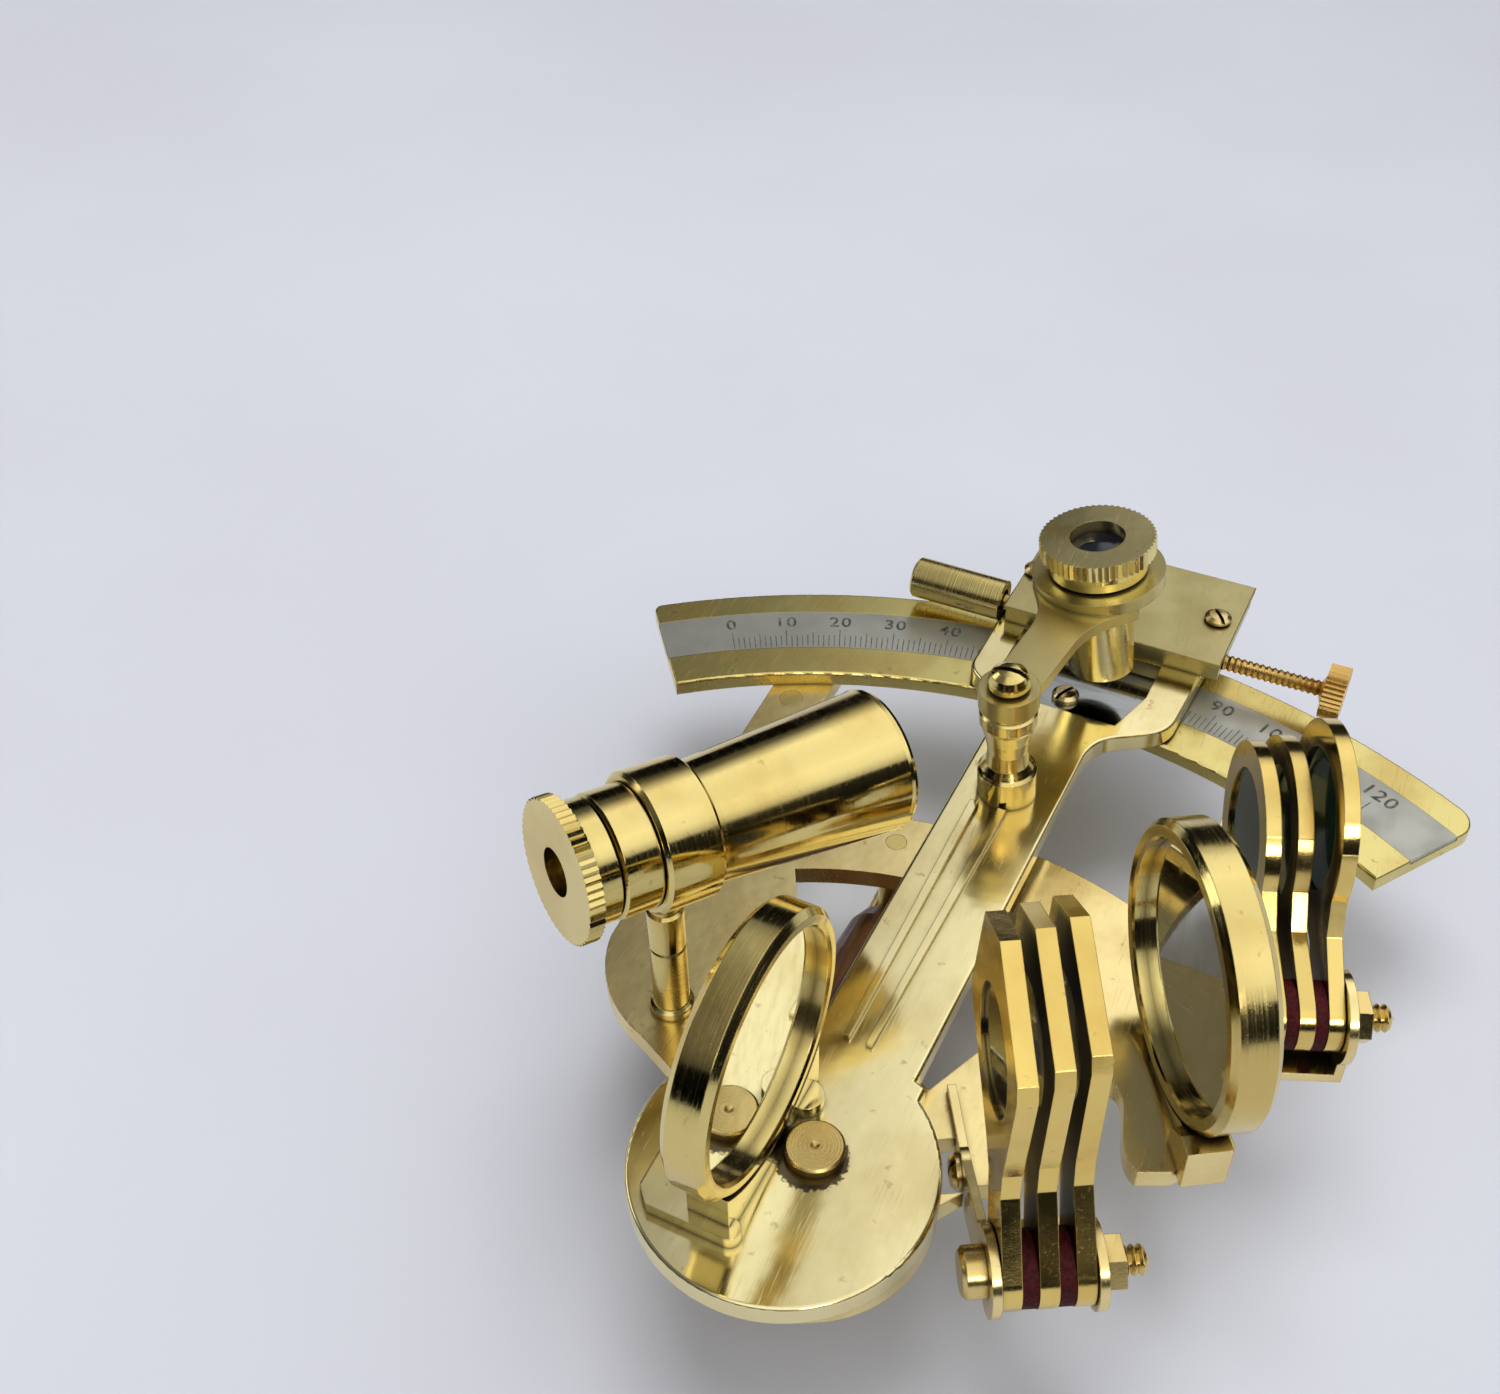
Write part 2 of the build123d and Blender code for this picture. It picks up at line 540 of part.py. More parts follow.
MIRROR_RISE = HORIZON_MIRROR_AT[2]
with BuildPart() as horizon_mirror_foot:
    with BuildSketch(horizon_mirror.offset(-1.1)) as block:
        with Locations((-11.0, FRAME_TOP + 2.0 - MIRROR_RISE)):
            Rectangle(4.7, 5.6)
    extrude(block.sketch, amount=4.7)
    with BuildSketch(horizon_mirror.offset(0.2)) as saddle:
        with Locations((-5.0, FRAME_TOP + 1.2 - MIRROR_RISE)):
            Rectangle(13.0, 2.4)
    extrude(saddle.sketch, amount=4.6)
    rod(horizon_mirror, HORIZON_RING[0], -2.0, 7.0, Mode.SUBTRACT)
    add(frame_plate.part, mode=Mode.SUBTRACT)
save(horizon_mirror_foot, "horizon_mirror_foot")

# ---- shade brackets, bolts, nuts and washers --------------------------------------
def length_of(stack):
    """Length of a stack of shades along its bolt."""
    pitch, plate = stack
    return pitch * (SHADE_COUNT - 1) + plate


EAR_GAP = 0.1
INDEX_LENGTH = length_of(INDEX_STACK)
HORIZON_LENGTH = length_of(HORIZON_STACK)
GROUPS = [(index_bolt, INDEX_STACK), (horizon_bolt, HORIZON_STACK)]
with BuildPart() as index_shade_bracket:
    with BuildSketch(index_bolt.offset(-EAR_GAP - EAR)) as left_ear:
        Circle(4.4)
        with Locations(LOBE_AT):
            Circle(2.8)
        with BuildLine():
            Polyline((0, 4.0), (4.6, 1.4), (13.0, -0.6), (13.0, -6.0), (3.6, -4.2), (0, -4.2), close=True)
        make_face()
        with BuildLine():
            Polyline((12.0, -1.95), (22.0, -1.95), (22.0, -0.75), (12.0, -0.75), close=True)
        make_face()
        Circle(BOLT_RADIUS, mode=Mode.SUBTRACT)
        with Locations(LOBE_AT):
            Circle(LOBE_PIN, mode=Mode.SUBTRACT)
    extrude(left_ear.sketch, amount=EAR)
    with BuildSketch(index_bolt.offset(INDEX_LENGTH + EAR_GAP)) as right_ear:
        Circle(4.4)
        with BuildLine():
            Polyline((0, 3.6), (5.8, -0.6), (5.8, -4.0), (0, -4.2), close=True)
        make_face()
        Circle(BOLT_RADIUS, mode=Mode.SUBTRACT)
    extrude(right_ear.sketch, amount=EAR)
    with BuildSketch(index_bolt.offset(-EAR_GAP - EAR)) as web:
        with Locations((5.2, -2.5)):
            Rectangle(1.2, 3.0)
    extrude(web.sketch, amount=INDEX_LENGTH + 2 * EAR_GAP + 2 * EAR)
save(index_shade_bracket, "index_shade_bracket")

TAB_SCREWS = [(7.0, -3.6), (3.0, -3.6)]
TAB_THICKNESS = 1.2
with BuildPart() as horizon_shade_bracket:
    for start in (-EAR_GAP - EAR, HORIZON_LENGTH + EAR_GAP):
        with BuildSketch(horizon_bolt.offset(start)) as ear:
            Circle(5.0)
            with Locations((0.4, -3.4)):
                Rectangle(8.6, 5.6)
            Circle(BOLT_RADIUS, mode=Mode.SUBTRACT)
        extrude(ear.sketch, amount=EAR)
    with BuildSketch(Plane.XY.offset(FRAME_TOP)) as base:
        with BuildLine():
            far_side = HORIZON_LENGTH + EAR_GAP + EAR
            near_side = -EAR_GAP - EAR
            corners = [(-3.9, far_side), (4.7, far_side), (4.7, near_side), (9.2, near_side),
                       (9.2, -5.3), (-1.0, -5.3), (-3.9, near_side)]
            Polyline(*[beside(horizon_bolt, back, along) for back, along in corners], close=True)
        make_face()
        with Locations(*[beside(horizon_bolt, back, along) for back, along in TAB_SCREWS]):
            Circle(SCREW_RADIUS, mode=Mode.SUBTRACT)
    extrude(base.sketch, amount=TAB_THICKNESS)
    with BuildSketch(Plane.XY.offset(FRAME_TOP)) as trim:
        Rectangle(200, 200)
    extrude(trim.sketch, amount=-4.0, mode=Mode.SUBTRACT)
save(horizon_shade_bracket, "horizon_shade_bracket")

with BuildPart() as bracket_screws:
    lobe = Plane(origin=lobe_pin.origin, x_dir=(0, 0, 1), z_dir=-index_bolt.z_dir)
    turn(lobe, [(0, -2.0), (LOBE_PIN, -2.0), (LOBE_PIN, EAR - LUG_FACE), (1.95, EAR - LUG_FACE),
                (1.95, 1.6), (1.4, 2.1), (0, 2.25)])
    slot(lobe.offset(2.25), 5.0, 0.5, 0.7)
    for back, along in TAB_SCREWS:
        x, y = beside(horizon_bolt, back, along)
        tab_face = Plane(origin=(x, y, FRAME_TOP + TAB_THICKNESS))
        turn(tab_face, [(0, -TAB_THICKNESS), (SCREW_RADIUS, -TAB_THICKNESS), (SCREW_RADIUS, 0), (1.5, 0),
                        (1.5, 0.5), (1.1, 0.8), (0, 0.9)])
        slot(tab_face.offset(0.9), 4.0, 0.4, 0.5)
save(bracket_screws, "bracket_screws")

NUT = 2.1
HEAD = 2.4
CORE_RADIUS = BOLT_RADIUS - 0.28
with BuildPart() as shade_bolts:
    for bolt, stack in GROUPS:
        length = length_of(stack)
        nut_face = length + EAR_GAP + EAR
        thread_end = nut_face + NUT + 2.9
        shoulder = -EAR_GAP - EAR
        turn(bolt, [(0, shoulder - HEAD), (2.1, shoulder - HEAD), (2.55, shoulder - HEAD + 0.4),
                    (2.55, shoulder), (CORE_RADIUS, shoulder), (CORE_RADIUS, nut_face)]
             + thread(CORE_RADIUS, BOLT_RADIUS, 0.75, nut_face + NUT, thread_end)
             + [(0, thread_end)])
save(shade_bolts, "shade_bolts")

with BuildPart() as shade_nuts:
    for bolt, stack in GROUPS:
        with BuildSketch(bolt.offset(length_of(stack) + EAR_GAP + EAR)) as hexagon:
            RegularPolygon(2.92, 6)
            Circle(BOLT_RADIUS, mode=Mode.SUBTRACT)
        extrude(hexagon.sketch, amount=NUT)
save(shade_nuts, "shade_nuts")

WASHER_RADIUS = 3.7
with BuildPart() as shade_washers:
    for bolt, stack in GROUPS:
        pitch, plate = stack
        for i in range(SHADE_COUNT - 1):
            start = i * pitch + plate + 0.05
            ring(bolt, WASHER_RADIUS, BOLT_RADIUS, start, start + pitch - plate - 0.1)
save(shade_washers, "shade_washers")

# ---- shades -----------------------------------------------------------------------
SHADE_BORE = BOLT_RADIUS + RUNNING_FIT
GLASS = 1.0
GLASS_LIP = 0.4
GLASS_SEAT = 0.6                # width of the step that takes a glass
INDEX_GLASS = (23.4, 6.3)       # distance from the bolt, sight radius
HORIZON_GLASS = (21.0, 7.8)


def leaning(bolt, lean, along):
    """Plane of a shade: x runs up the plate, which leans back from the vertical."""
    up = Vector(0, 0, 1) * cos(radians(lean)) + bolt.x_dir * sin(radians(lean))
    return Plane(origin=bolt.origin + bolt.z_dir * along, x_dir=up, z_dir=bolt.z_dir)


def sight(plane, glass):
    """Plane of a shade's sight hole."""
    return Plane(origin=plane.origin + plane.x_dir * glass[0], x_dir=plane.x_dir, z_dir=plane.z_dir)


INDEX_PITCH, INDEX_PLATE = INDEX_STACK
for number in range(SHADE_COUNT):
    plane = leaning(index_bolt, INDEX_SHADE_LEAN[number], number * INDEX_PITCH)
    with BuildPart() as index_shade:
        with BuildSketch(plane) as outline:
            Circle(SHADE_HUB)
            with BuildLine():
                Polyline((0, SHADE_HUB), (9.5, 2.8), (12.5, 3.9), (23.6, 10.4), (25.4, 10.6), (35.7, 3.3),
                         (35.7, -3.3), (25.4, -10.6), (23.6, -10.4), (12.5, -3.9), (9.5, -2.8),
                         (0, -SHADE_HUB), close=True)
            make_face()
            Circle(SHADE_BORE, mode=Mode.SUBTRACT)
        extrude(outline.sketch, amount=INDEX_PLATE)
        hole = sight(plane, INDEX_GLASS)
        rod(hole, INDEX_GLASS[1], -1.0, INDEX_PLATE + 1.0, Mode.SUBTRACT)
        rod(hole, INDEX_GLASS[1] + GLASS_SEAT, GLASS_LIP, INDEX_PLATE + 1.0, Mode.SUBTRACT)
    save(index_shade, f"index_shade_{number + 1}")
    with BuildPart() as shade_glass:
        rod(hole, INDEX_GLASS[1] + GLASS_SEAT, GLASS_LIP, GLASS_LIP + GLASS)
    save(shade_glass, f"index_shade_{number + 1}_glass")

HORIZON_PITCH, HORIZON_PLATE = HORIZON_STACK
for number in range(SHADE_COUNT):
    plane = leaning(horizon_bolt, HORIZON_SHADE_LEAN[number], number * HORIZON_PITCH)
    with BuildPart() as horizon_shade:
        with BuildSketch(plane) as outline:
            Circle(SHADE_HUB)
            with Locations((HORIZON_GLASS[0], 0)):
                Circle(10.8)
            with BuildLine():
                Polyline((0, SHADE_HUB), (8.0, 3.3), (12.0, 5.6), (16.0, 9.6), (21.0, 0), (16.0, -9.6),
                         (12.0, -5.6), (8.0, -3.3), (0, -SHADE_HUB), close=True)
            make_face()
            Circle(SHADE_BORE, mode=Mode.SUBTRACT)
        extrude(outline.sketch, amount=HORIZON_PLATE)
        hole = sight(plane, HORIZON_GLASS)
        rod(hole, HORIZON_GLASS[1], -1.0, HORIZON_PLATE + 1.0, Mode.SUBTRACT)
        rod(hole, HORIZON_GLASS[1] + GLASS_SEAT, GLASS_LIP, HORIZON_PLATE + 1.0, Mode.SUBTRACT)
    save(horizon_shade, f"horizon_shade_{number + 1}")
    with BuildPart() as shade_glass:
        rod(hole, HORIZON_GLASS[1] + GLASS_SEAT, GLASS_LIP, GLASS_LIP + GLASS)
    save(shade_glass, f"horizon_shade_{number + 1}_glass")

# ---- telescope --------------------------------------------------------------------
post = Plane(origin=(TELESCOPE_AT[0], TELESCOPE_AT[1], 0))
sightline = Plane(origin=TELESCOPE_AT, x_dir=tuple(heading(TELESCOPE_AZIMUTH + 90)),
                  z_dir=tuple(heading(TELESCOPE_AZIMUTH, -TELESCOPE_DIP)))
COLLAR = (7.6, 6.6, -2.8, 3.7)      # outer radius, bore radius, rear and front along the sightline
PEG = 1.0
with BuildPart() as telescope_post:
    turn(post, [(0, FOOT_HEIGHT), (1.3, FOOT_HEIGHT), (1.3, FRAME_TOP), (2.5, FRAME_TOP), (2.5, 23.4),
                (POST_RADIUS, 23.8), (POST_RADIUS, POST_SPLIT - 0.2), (POST_RADIUS - 0.15, POST_SPLIT),
                (PEG + RUNNING_FIT, POST_SPLIT), (PEG + RUNNING_FIT, 28.5), (0, 28.5)])
save(telescope_post, "telescope_post")

with BuildPart() as telescope_collar:
    turn(post, [(0, 28.7), (PEG, 28.7), (PEG, POST_SPLIT + 0.05), (POST_RADIUS - 0.15, POST_SPLIT + 0.05),
                (POST_RADIUS, POST_SPLIT + 0.25), (POST_RADIUS, 38.6), (POST_RADIUS - 0.35, 38.9),
                (POST_RADIUS - 0.35, 39.4), (POST_RADIUS, 39.7), (POST_RADIUS + 0.2, 43.0), (0, 43.0)])
    turn(sightline, [(0, COLLAR[2]), (COLLAR[0] - 0.4, COLLAR[2]), (COLLAR[0], COLLAR[2] + 0.4),
                     (COLLAR[0], COLLAR[3] - 0.4), (COLLAR[0] - 0.4, COLLAR[3]), (0, COLLAR[3])])
    rod(sightline, COLLAR[1], COLLAR[2] - 1, COLLAR[3] + 1, Mode.SUBTRACT)
save(telescope_collar, "telescope_collar")

DRAW_BORE = 5.65
with BuildPart() as telescope_barrel:
    turn(sightline, [(DRAW_BORE, COLLAR[2]), (COLLAR[1], COLLAR[2]), (COLLAR[1], COLLAR[3]), (7.95, 25.9),
                     (8.05, 26.3), (7.9, 26.7), (7.25, 26.7), (7.1, 26.3), (7.1, 23.4), (6.6, 23.4),
                     (6.0, 9.0), (DRAW_BORE, 7.0)])
save(telescope_barrel, "telescope_barrel")

with BuildPart() as objective_lens:
    turn(sightline, [(0, 22.9), (6.0, 23.4), (7.1, 23.4), (7.1, 24.6), (4.0, 25.2), (0, 25.5)])
save(objective_lens, "objective_lens")

with BuildPart() as draw_tube:
    turn(sightline, [(5.0, -7.1), (6.3, -7.1), (6.65, -6.8), (6.65, -2.95), (DRAW_BORE - RUNNING_FIT, -2.95),
                     (DRAW_BORE - RUNNING_FIT, 6.6), (4.6, 6.6), (4.6, -3.6), (5.0, -3.6)])
save(draw_tube, "draw_tube")

with BuildPart() as eyepiece_cap:
    knurl(sightline, 7.7, 0.28, 56, -11.6, -9.9)
    turn(sightline, [(0, -9.9), (6.5, -9.9), (6.5, -7.45), (5.0, -7.45), (5.0, -3.7), (0, -3.7)])
    rod(sightline, 2.6, -12.0, -9.0, Mode.SUBTRACT)
    rod(sightline, 4.3, -9.0, -3.0, Mode.SUBTRACT)
save(eyepiece_cap, "eyepiece_cap")

with BuildPart() as eye_lens:
    turn(sightline, [(0, -9.0), (4.3, -9.0), (4.3, -8.2), (2.5, -7.4), (0, -7.1)])
save(eye_lens, "eye_lens")

# ---- reading magnifier ------------------------------------------------------------
pillar_slope = sin(radians(PILLAR_LEAN)) / cos(radians(PILLAR_LEAN))
pillar_up = Vector(0, 0, 1) + Vector(*PILLAR_LEAN_WAY) * pillar_slope
pillar = Plane(origin=arm_point(PILLAR_AT[0], PILLAR_AT[1], ARM_TOP),
               x_dir=tuple(Vector(0, 1, 0).cross(pillar_up)), z_dir=tuple(pillar_up))
tube_foot = arm_point(*TUBE_FOOT)
tube_head = arm_point(*TUBE_HEAD)
tube_up = tube_head - tube_foot
TUBE_LENGTH = tube_up.length
tube = Plane(origin=tube_foot, x_dir=tuple(tube_up.cross(Vector(0, 1, 0))), z_dir=tuple(tube_up))
HUB_LOW = 14.2
HUB_HIGH = 16.8
HUB_PIN = 1.4
PILLAR_SCREW = 1.0
LENS_RADIUS = 3.6
TUBE_RADIUS = 4.2
EYE_BORE = TUBE_RADIUS + RUNNING_FIT
CAP_KNURL = 2.1
CAP_PLAIN = 2.6
EYE_PLATE = 1.9
EYE_AT = TUBE_LENGTH - CAP_KNURL - CAP_PLAIN - EYE_PLATE - 0.1      # eye's underside along the tube
with BuildPart() as magnifier_pillar:
    turn(pillar, [(0, -0.6), (3.6, -0.6), (3.6, 3.9), (3.2, 4.3), (2.6, 5.2), (2.4, 7.2), (2.7, 9.2),
                  (3.2, 11.2), (3.45, 11.8), (3.45, 13.2), (3.1, 13.5), (3.1, HUB_LOW - 0.05),
                  (0, HUB_LOW - 0.05)])
    with BuildSketch(arm_plane(ARM_TOP)) as below:
        with Locations(PILLAR_AT):
            Rectangle(20, 20)
    extrude(below.sketch, amount=-3.0, mode=Mode.SUBTRACT)
    rod(Plane(origin=arm_point(PILLAR_AT[0], PILLAR_AT[1], ARM_TOP)), PILLAR_TENON, -ARM_THICKNESS, 0.2)
    rod(pillar, PILLAR_SCREW, HUB_LOW - 6.0, HUB_LOW + 1.0, Mode.SUBTRACT)
save(magnifier_pillar, "magnifier_pillar")

with BuildPart() as pillar_screw:
    turn(pillar, [(0, HUB_LOW - 6.0), (PILLAR_SCREW, HUB_LOW - 6.0), (PILLAR_SCREW, HUB_LOW - 0.05),
                  (HUB_PIN, HUB_LOW - 0.05), (HUB_PIN, HUB_HIGH + 0.05), (2.3, HUB_HIGH + 0.05),
                  (2.5, 17.3), (2.5, 18.0),
                  (2.1, 18.9), (1.3, 19.4), (0, 19.6)])
    slot(pillar.offset(19.6), 6.0, 0.7, 1.3)
save(pillar_screw, "pillar_screw")

eye = tube.offset(EYE_AT)
hub_centre = pillar.origin + pillar.z_dir * HUB_LOW
with BuildPart() as magnifier_arm:
    ring(pillar, 3.6, HUB_PIN + RUNNING_FIT, HUB_LOW, HUB_HIGH)
    ring(eye, 8.2, EYE_BORE, 0.2, EYE_PLATE)
    ring(eye, 5.6, EYE_BORE, -1.6, 0.2)
    stem = Plane(origin=hub_centre + pillar.z_dir * 0.5,
                 x_dir=tuple(eye.origin + eye.z_dir * 0.7 - hub_centre - pillar.z_dir * 0.5),
                 z_dir=tuple(pillar.z_dir))
    reach = (eye.origin - hub_centre).length
    with BuildSketch(stem) as bar:
        with BuildLine():
            Line((2.0, 2.9), (11.0, 3.0))
            Spline((11.0, 3.0), (16.5, 4.3), (reach - 4.0, 7.1), tangents=[(1, 0), (0.9, 0.6)])
            Line((reach - 4.0, 7.1), (reach - 4.0, -7.1))
            Spline((reach - 4.0, -7.1), (16.5, -4.3), (11.0, -3.0), tangents=[(-0.9, 0.6), (-1, 0)])
            Line((11.0, -3.0), (2.0, -2.9))
            Line((2.0, -2.9), (2.0, 2.9))
        make_face()
    extrude(bar.sketch, amount=1.6)
    rod(tube, EYE_BORE, 0, TUBE_LENGTH, Mode.SUBTRACT)
    rod(tube, 6.2, EYE_AT + EYE_PLATE, TUBE_LENGTH, Mode.SUBTRACT)
save(magnifier_arm, "magnifier_arm")

KNURL_LOW = TUBE_LENGTH - CAP_KNURL
CAP_LOW = KNURL_LOW - CAP_PLAIN
with BuildPart() as magnifier_tube:
    ring(tube, TUBE_RADIUS, LENS_RADIUS, 0, CAP_LOW)
    turn(tube, [(LENS_RADIUS, CAP_LOW), (5.8, CAP_LOW), (6.1, CAP_LOW + 0.3), (6.1, KNURL_LOW),
                (LENS_RADIUS, KNURL_LOW)])
    knurl(tube, 7.15, 0.28, 56, KNURL_LOW, TUBE_LENGTH)
    rod(tube, LENS_RADIUS, -1.0, TUBE_LENGTH - 1.6, Mode.SUBTRACT)
    rod(tube, 3.4, TUBE_LENGTH - 2.0, TUBE_LENGTH + 1.0, Mode.SUBTRACT)
save(magnifier_tube, "magnifier_tube")

with BuildPart() as magnifier_lens:
    turn(tube, [(0, TUBE_LENGTH - 3.0), (LENS_RADIUS, TUBE_LENGTH - 2.6), (LENS_RADIUS, TUBE_LENGTH - 1.65),
                (3.3, TUBE_LENGTH - 1.6), (0, TUBE_LENGTH - 0.9)])
save(magnifier_lens, "magnifier_lens")
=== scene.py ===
import json
from math import cos, pi, radians, sin

import bmesh
import bpy
import numpy as np
from mathutils import Matrix, Vector


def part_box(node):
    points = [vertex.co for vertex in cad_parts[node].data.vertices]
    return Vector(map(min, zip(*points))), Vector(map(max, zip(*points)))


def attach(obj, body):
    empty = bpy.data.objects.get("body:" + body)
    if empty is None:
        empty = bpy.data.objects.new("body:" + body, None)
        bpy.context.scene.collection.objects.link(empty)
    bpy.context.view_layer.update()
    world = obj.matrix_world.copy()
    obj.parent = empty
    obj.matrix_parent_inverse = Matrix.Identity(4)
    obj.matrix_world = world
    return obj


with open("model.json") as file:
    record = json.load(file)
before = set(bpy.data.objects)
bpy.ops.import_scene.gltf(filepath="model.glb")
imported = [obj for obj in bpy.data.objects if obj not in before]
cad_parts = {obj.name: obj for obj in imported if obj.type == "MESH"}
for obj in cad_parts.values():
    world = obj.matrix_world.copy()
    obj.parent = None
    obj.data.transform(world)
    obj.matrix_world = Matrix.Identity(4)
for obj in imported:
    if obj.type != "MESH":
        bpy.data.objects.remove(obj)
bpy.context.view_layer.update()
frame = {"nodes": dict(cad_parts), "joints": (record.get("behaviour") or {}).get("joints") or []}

# Looks of a small brass sextant. Metres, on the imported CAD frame: the index pivot is the
# Z axis, +Y runs to the middle of the arc and z = 0 is the surface it stands on.
MM = 0.001
UP = Vector((0, 0, 1))
NODES = frame["nodes"]
JOINTS = {joint["name"]: joint for joint in frame["joints"]}


# ---- camera -----------------------------------------------------------------------
CAMERA_PLACE = Vector((35.3, -87.6, 169.9)) * MM
CAMERA_AZIMUTH = -25.1         # degrees from +Y towards +X
CAMERA_RISE = -41.06           # degrees above the horizontal
CAMERA_ROLL = -1.58            # degrees
CAMERA_LENS = 39.64            # mm
CAMERA_SENSOR = 36.0           # mm


def heading(azimuth, rise=0.0):
    """Unit vector at an azimuth from +Y towards +X, in degrees."""
    a = radians(azimuth)
    r = radians(rise)
    return Vector((cos(r) * sin(a), cos(r) * cos(a), sin(r)))


def set_camera():
    data = bpy.data.cameras.new("camera")
    data.sensor_width = CAMERA_SENSOR
    data.lens = CAMERA_LENS
    data.clip_start = 0.005
    data.clip_end = 20.0
    camera = bpy.data.objects.new("camera", data)
    bpy.context.scene.collection.objects.link(camera)
    roll = radians(CAMERA_ROLL)
    forward = heading(CAMERA_AZIMUTH, CAMERA_RISE)
    level = heading(CAMERA_AZIMUTH + 90)
    up = level.cross(forward)
    across = level * cos(roll) + up * sin(roll)
    top = up * cos(roll) - level * sin(roll)
    place = Matrix((across, top, -forward)).transposed().to_4x4()
    place.translation = CAMERA_PLACE
    camera.matrix_world = place
    bpy.context.scene.camera = camera


set_camera()


# ---- node graphs ------------------------------------------------------------------
class Look:
    """A procedural material, built round one Principled shader."""

    def __init__(self, name, **constants):
        self.material = bpy.data.materials.new(name)
        self.material.use_nodes = True
        self.tree = self.material.node_tree
        self.shader = self.tree.nodes["Principled BSDF"]
        for socket, value in constants.items():
            self.shader.inputs[socket.replace("_", " ")].default_value = value
        self.place = self.add("ShaderNodeTexCoord").outputs["Object"]

    def add(self, kind, inputs=(), **settings):
        node = self.tree.nodes.new(kind)
        for key, value in settings.items():
            setattr(node, key, value)
        for socket, value in dict(inputs).items():
            self.feed(node.inputs[socket], value)
        return node

    def feed(self, socket, value):
        if isinstance(value, bpy.types.NodeSocket):
            self.tree.links.new(value, socket)
        else:
            socket.default_value = value

    def noise(self, scale, detail=3.0, stretch=None, turn=(0, 0, 0), place=None):
        """Noise whose features are about 1 / scale metres, or 1 / stretch along each axis."""
        place = place or self.place
        if stretch:
            mapping = {"Vector": place, "Rotation": turn, "Scale": stretch}
            place = self.add("ShaderNodeMapping", mapping).outputs[0]
        inputs = {"Vector": place, "Scale": scale, "Detail": detail}
        return self.add("ShaderNodeTexNoise", inputs).outputs["Fac"]

    def ramp(self, value, low, high, to_low=0.0, to_high=1.0):
        """Smooth step between two results, as the value goes from low to high."""
        inputs = {"Value": value, 1: low, 2: high, 3: to_low, 4: to_high}
        return self.add("ShaderNodeMapRange", inputs, interpolation_type="SMOOTHSTEP").outputs[0]

    def math(self, operation, a, b=0.0):
        return self.add("ShaderNodeMath", {0: a, 1: b}, operation=operation).outputs[0]

    def vector(self, operation, a, b=None, scale=None):
        inputs = {0: a}
        if b is not None:
            inputs[1] = b
        if scale is not None:
            inputs["Scale"] = scale
        node = self.add("ShaderNodeVectorMath", inputs, operation=operation)
        return node.outputs["Value" if operation in ("DOT_PRODUCT", "LENGTH") else "Vector"]

    def mix(self, factor, a, b):
        node = self.add("ShaderNodeMix", {0: factor, 6: a, 7: b}, data_type="RGBA")
        return node.outputs[2]

    def bump(self, height, strength, distance, normal=None):
        inputs = {"Height": height, "Strength": strength, "Distance": distance}
        if normal is not None:
            inputs["Normal"] = normal
        return self.add("ShaderNodeBump", inputs).outputs[0]

    def round_about(self, axis):
        """Distance from an axis and along it, as coordinates, and the offset from its origin."""
        origin, direction = axis
        offset = self.vector("SUBTRACT", self.place, tuple(origin))
        along = self.vector("DOT_PRODUCT", offset, tuple(direction))
        shaft = self.vector("SCALE", tuple(direction), scale=along)
        out = self.vector("SUBTRACT", offset, shaft)
        radius = self.vector("LENGTH", out)
        return self.add("ShaderNodeCombineXYZ", {0: radius, 1: along}).outputs[0], offset

    def ring_of_grime(self, radius):
        """Ragged dark polish residue round the pivot stud, widest towards the near side."""
        middle = Vector((0, -0.8 * MM, 0))
        raggedness = 1.6 * MM
        fade = 0.35 * MM
        around, _ = self.round_about((middle, UP))
        distance = self.add("ShaderNodeSeparateXYZ", {0: around}).outputs[0]
        ragged = self.math("MULTIPLY", self.noise(1900.0, 3.0), raggedness)
        reach = self.math("SUBTRACT", distance, ragged)
        return self.ramp(reach, radius, radius - fade, 0.0, 0.9)

    def crevices(self, reach):
        """1 in corners and under overhangs, 0 on open surfaces."""
        occlusion = self.add("ShaderNodeAmbientOcclusion", {"Distance": reach}, samples=6)
        return self.ramp(occlusion.outputs["AO"], 0.75, 0.3)

    def finish(self, **links):
        for socket, value in links.items():
            self.feed(self.shader.inputs[socket.replace("_", " ")], value)
        return self.material


def colour(r, g, b):
    return (r, g, b, 1.0)


FRESH = colour(0.76, 0.62, 0.25)
WARM = colour(0.60, 0.42, 0.13)
TARNISH = colour(0.42, 0.25, 0.08)
# Near-black brown: painted shade and grime in corners and gaps, and the real grime round the
# pivot.
STAIN_AND_SHADE = colour(0.035, 0.02, 0.009)


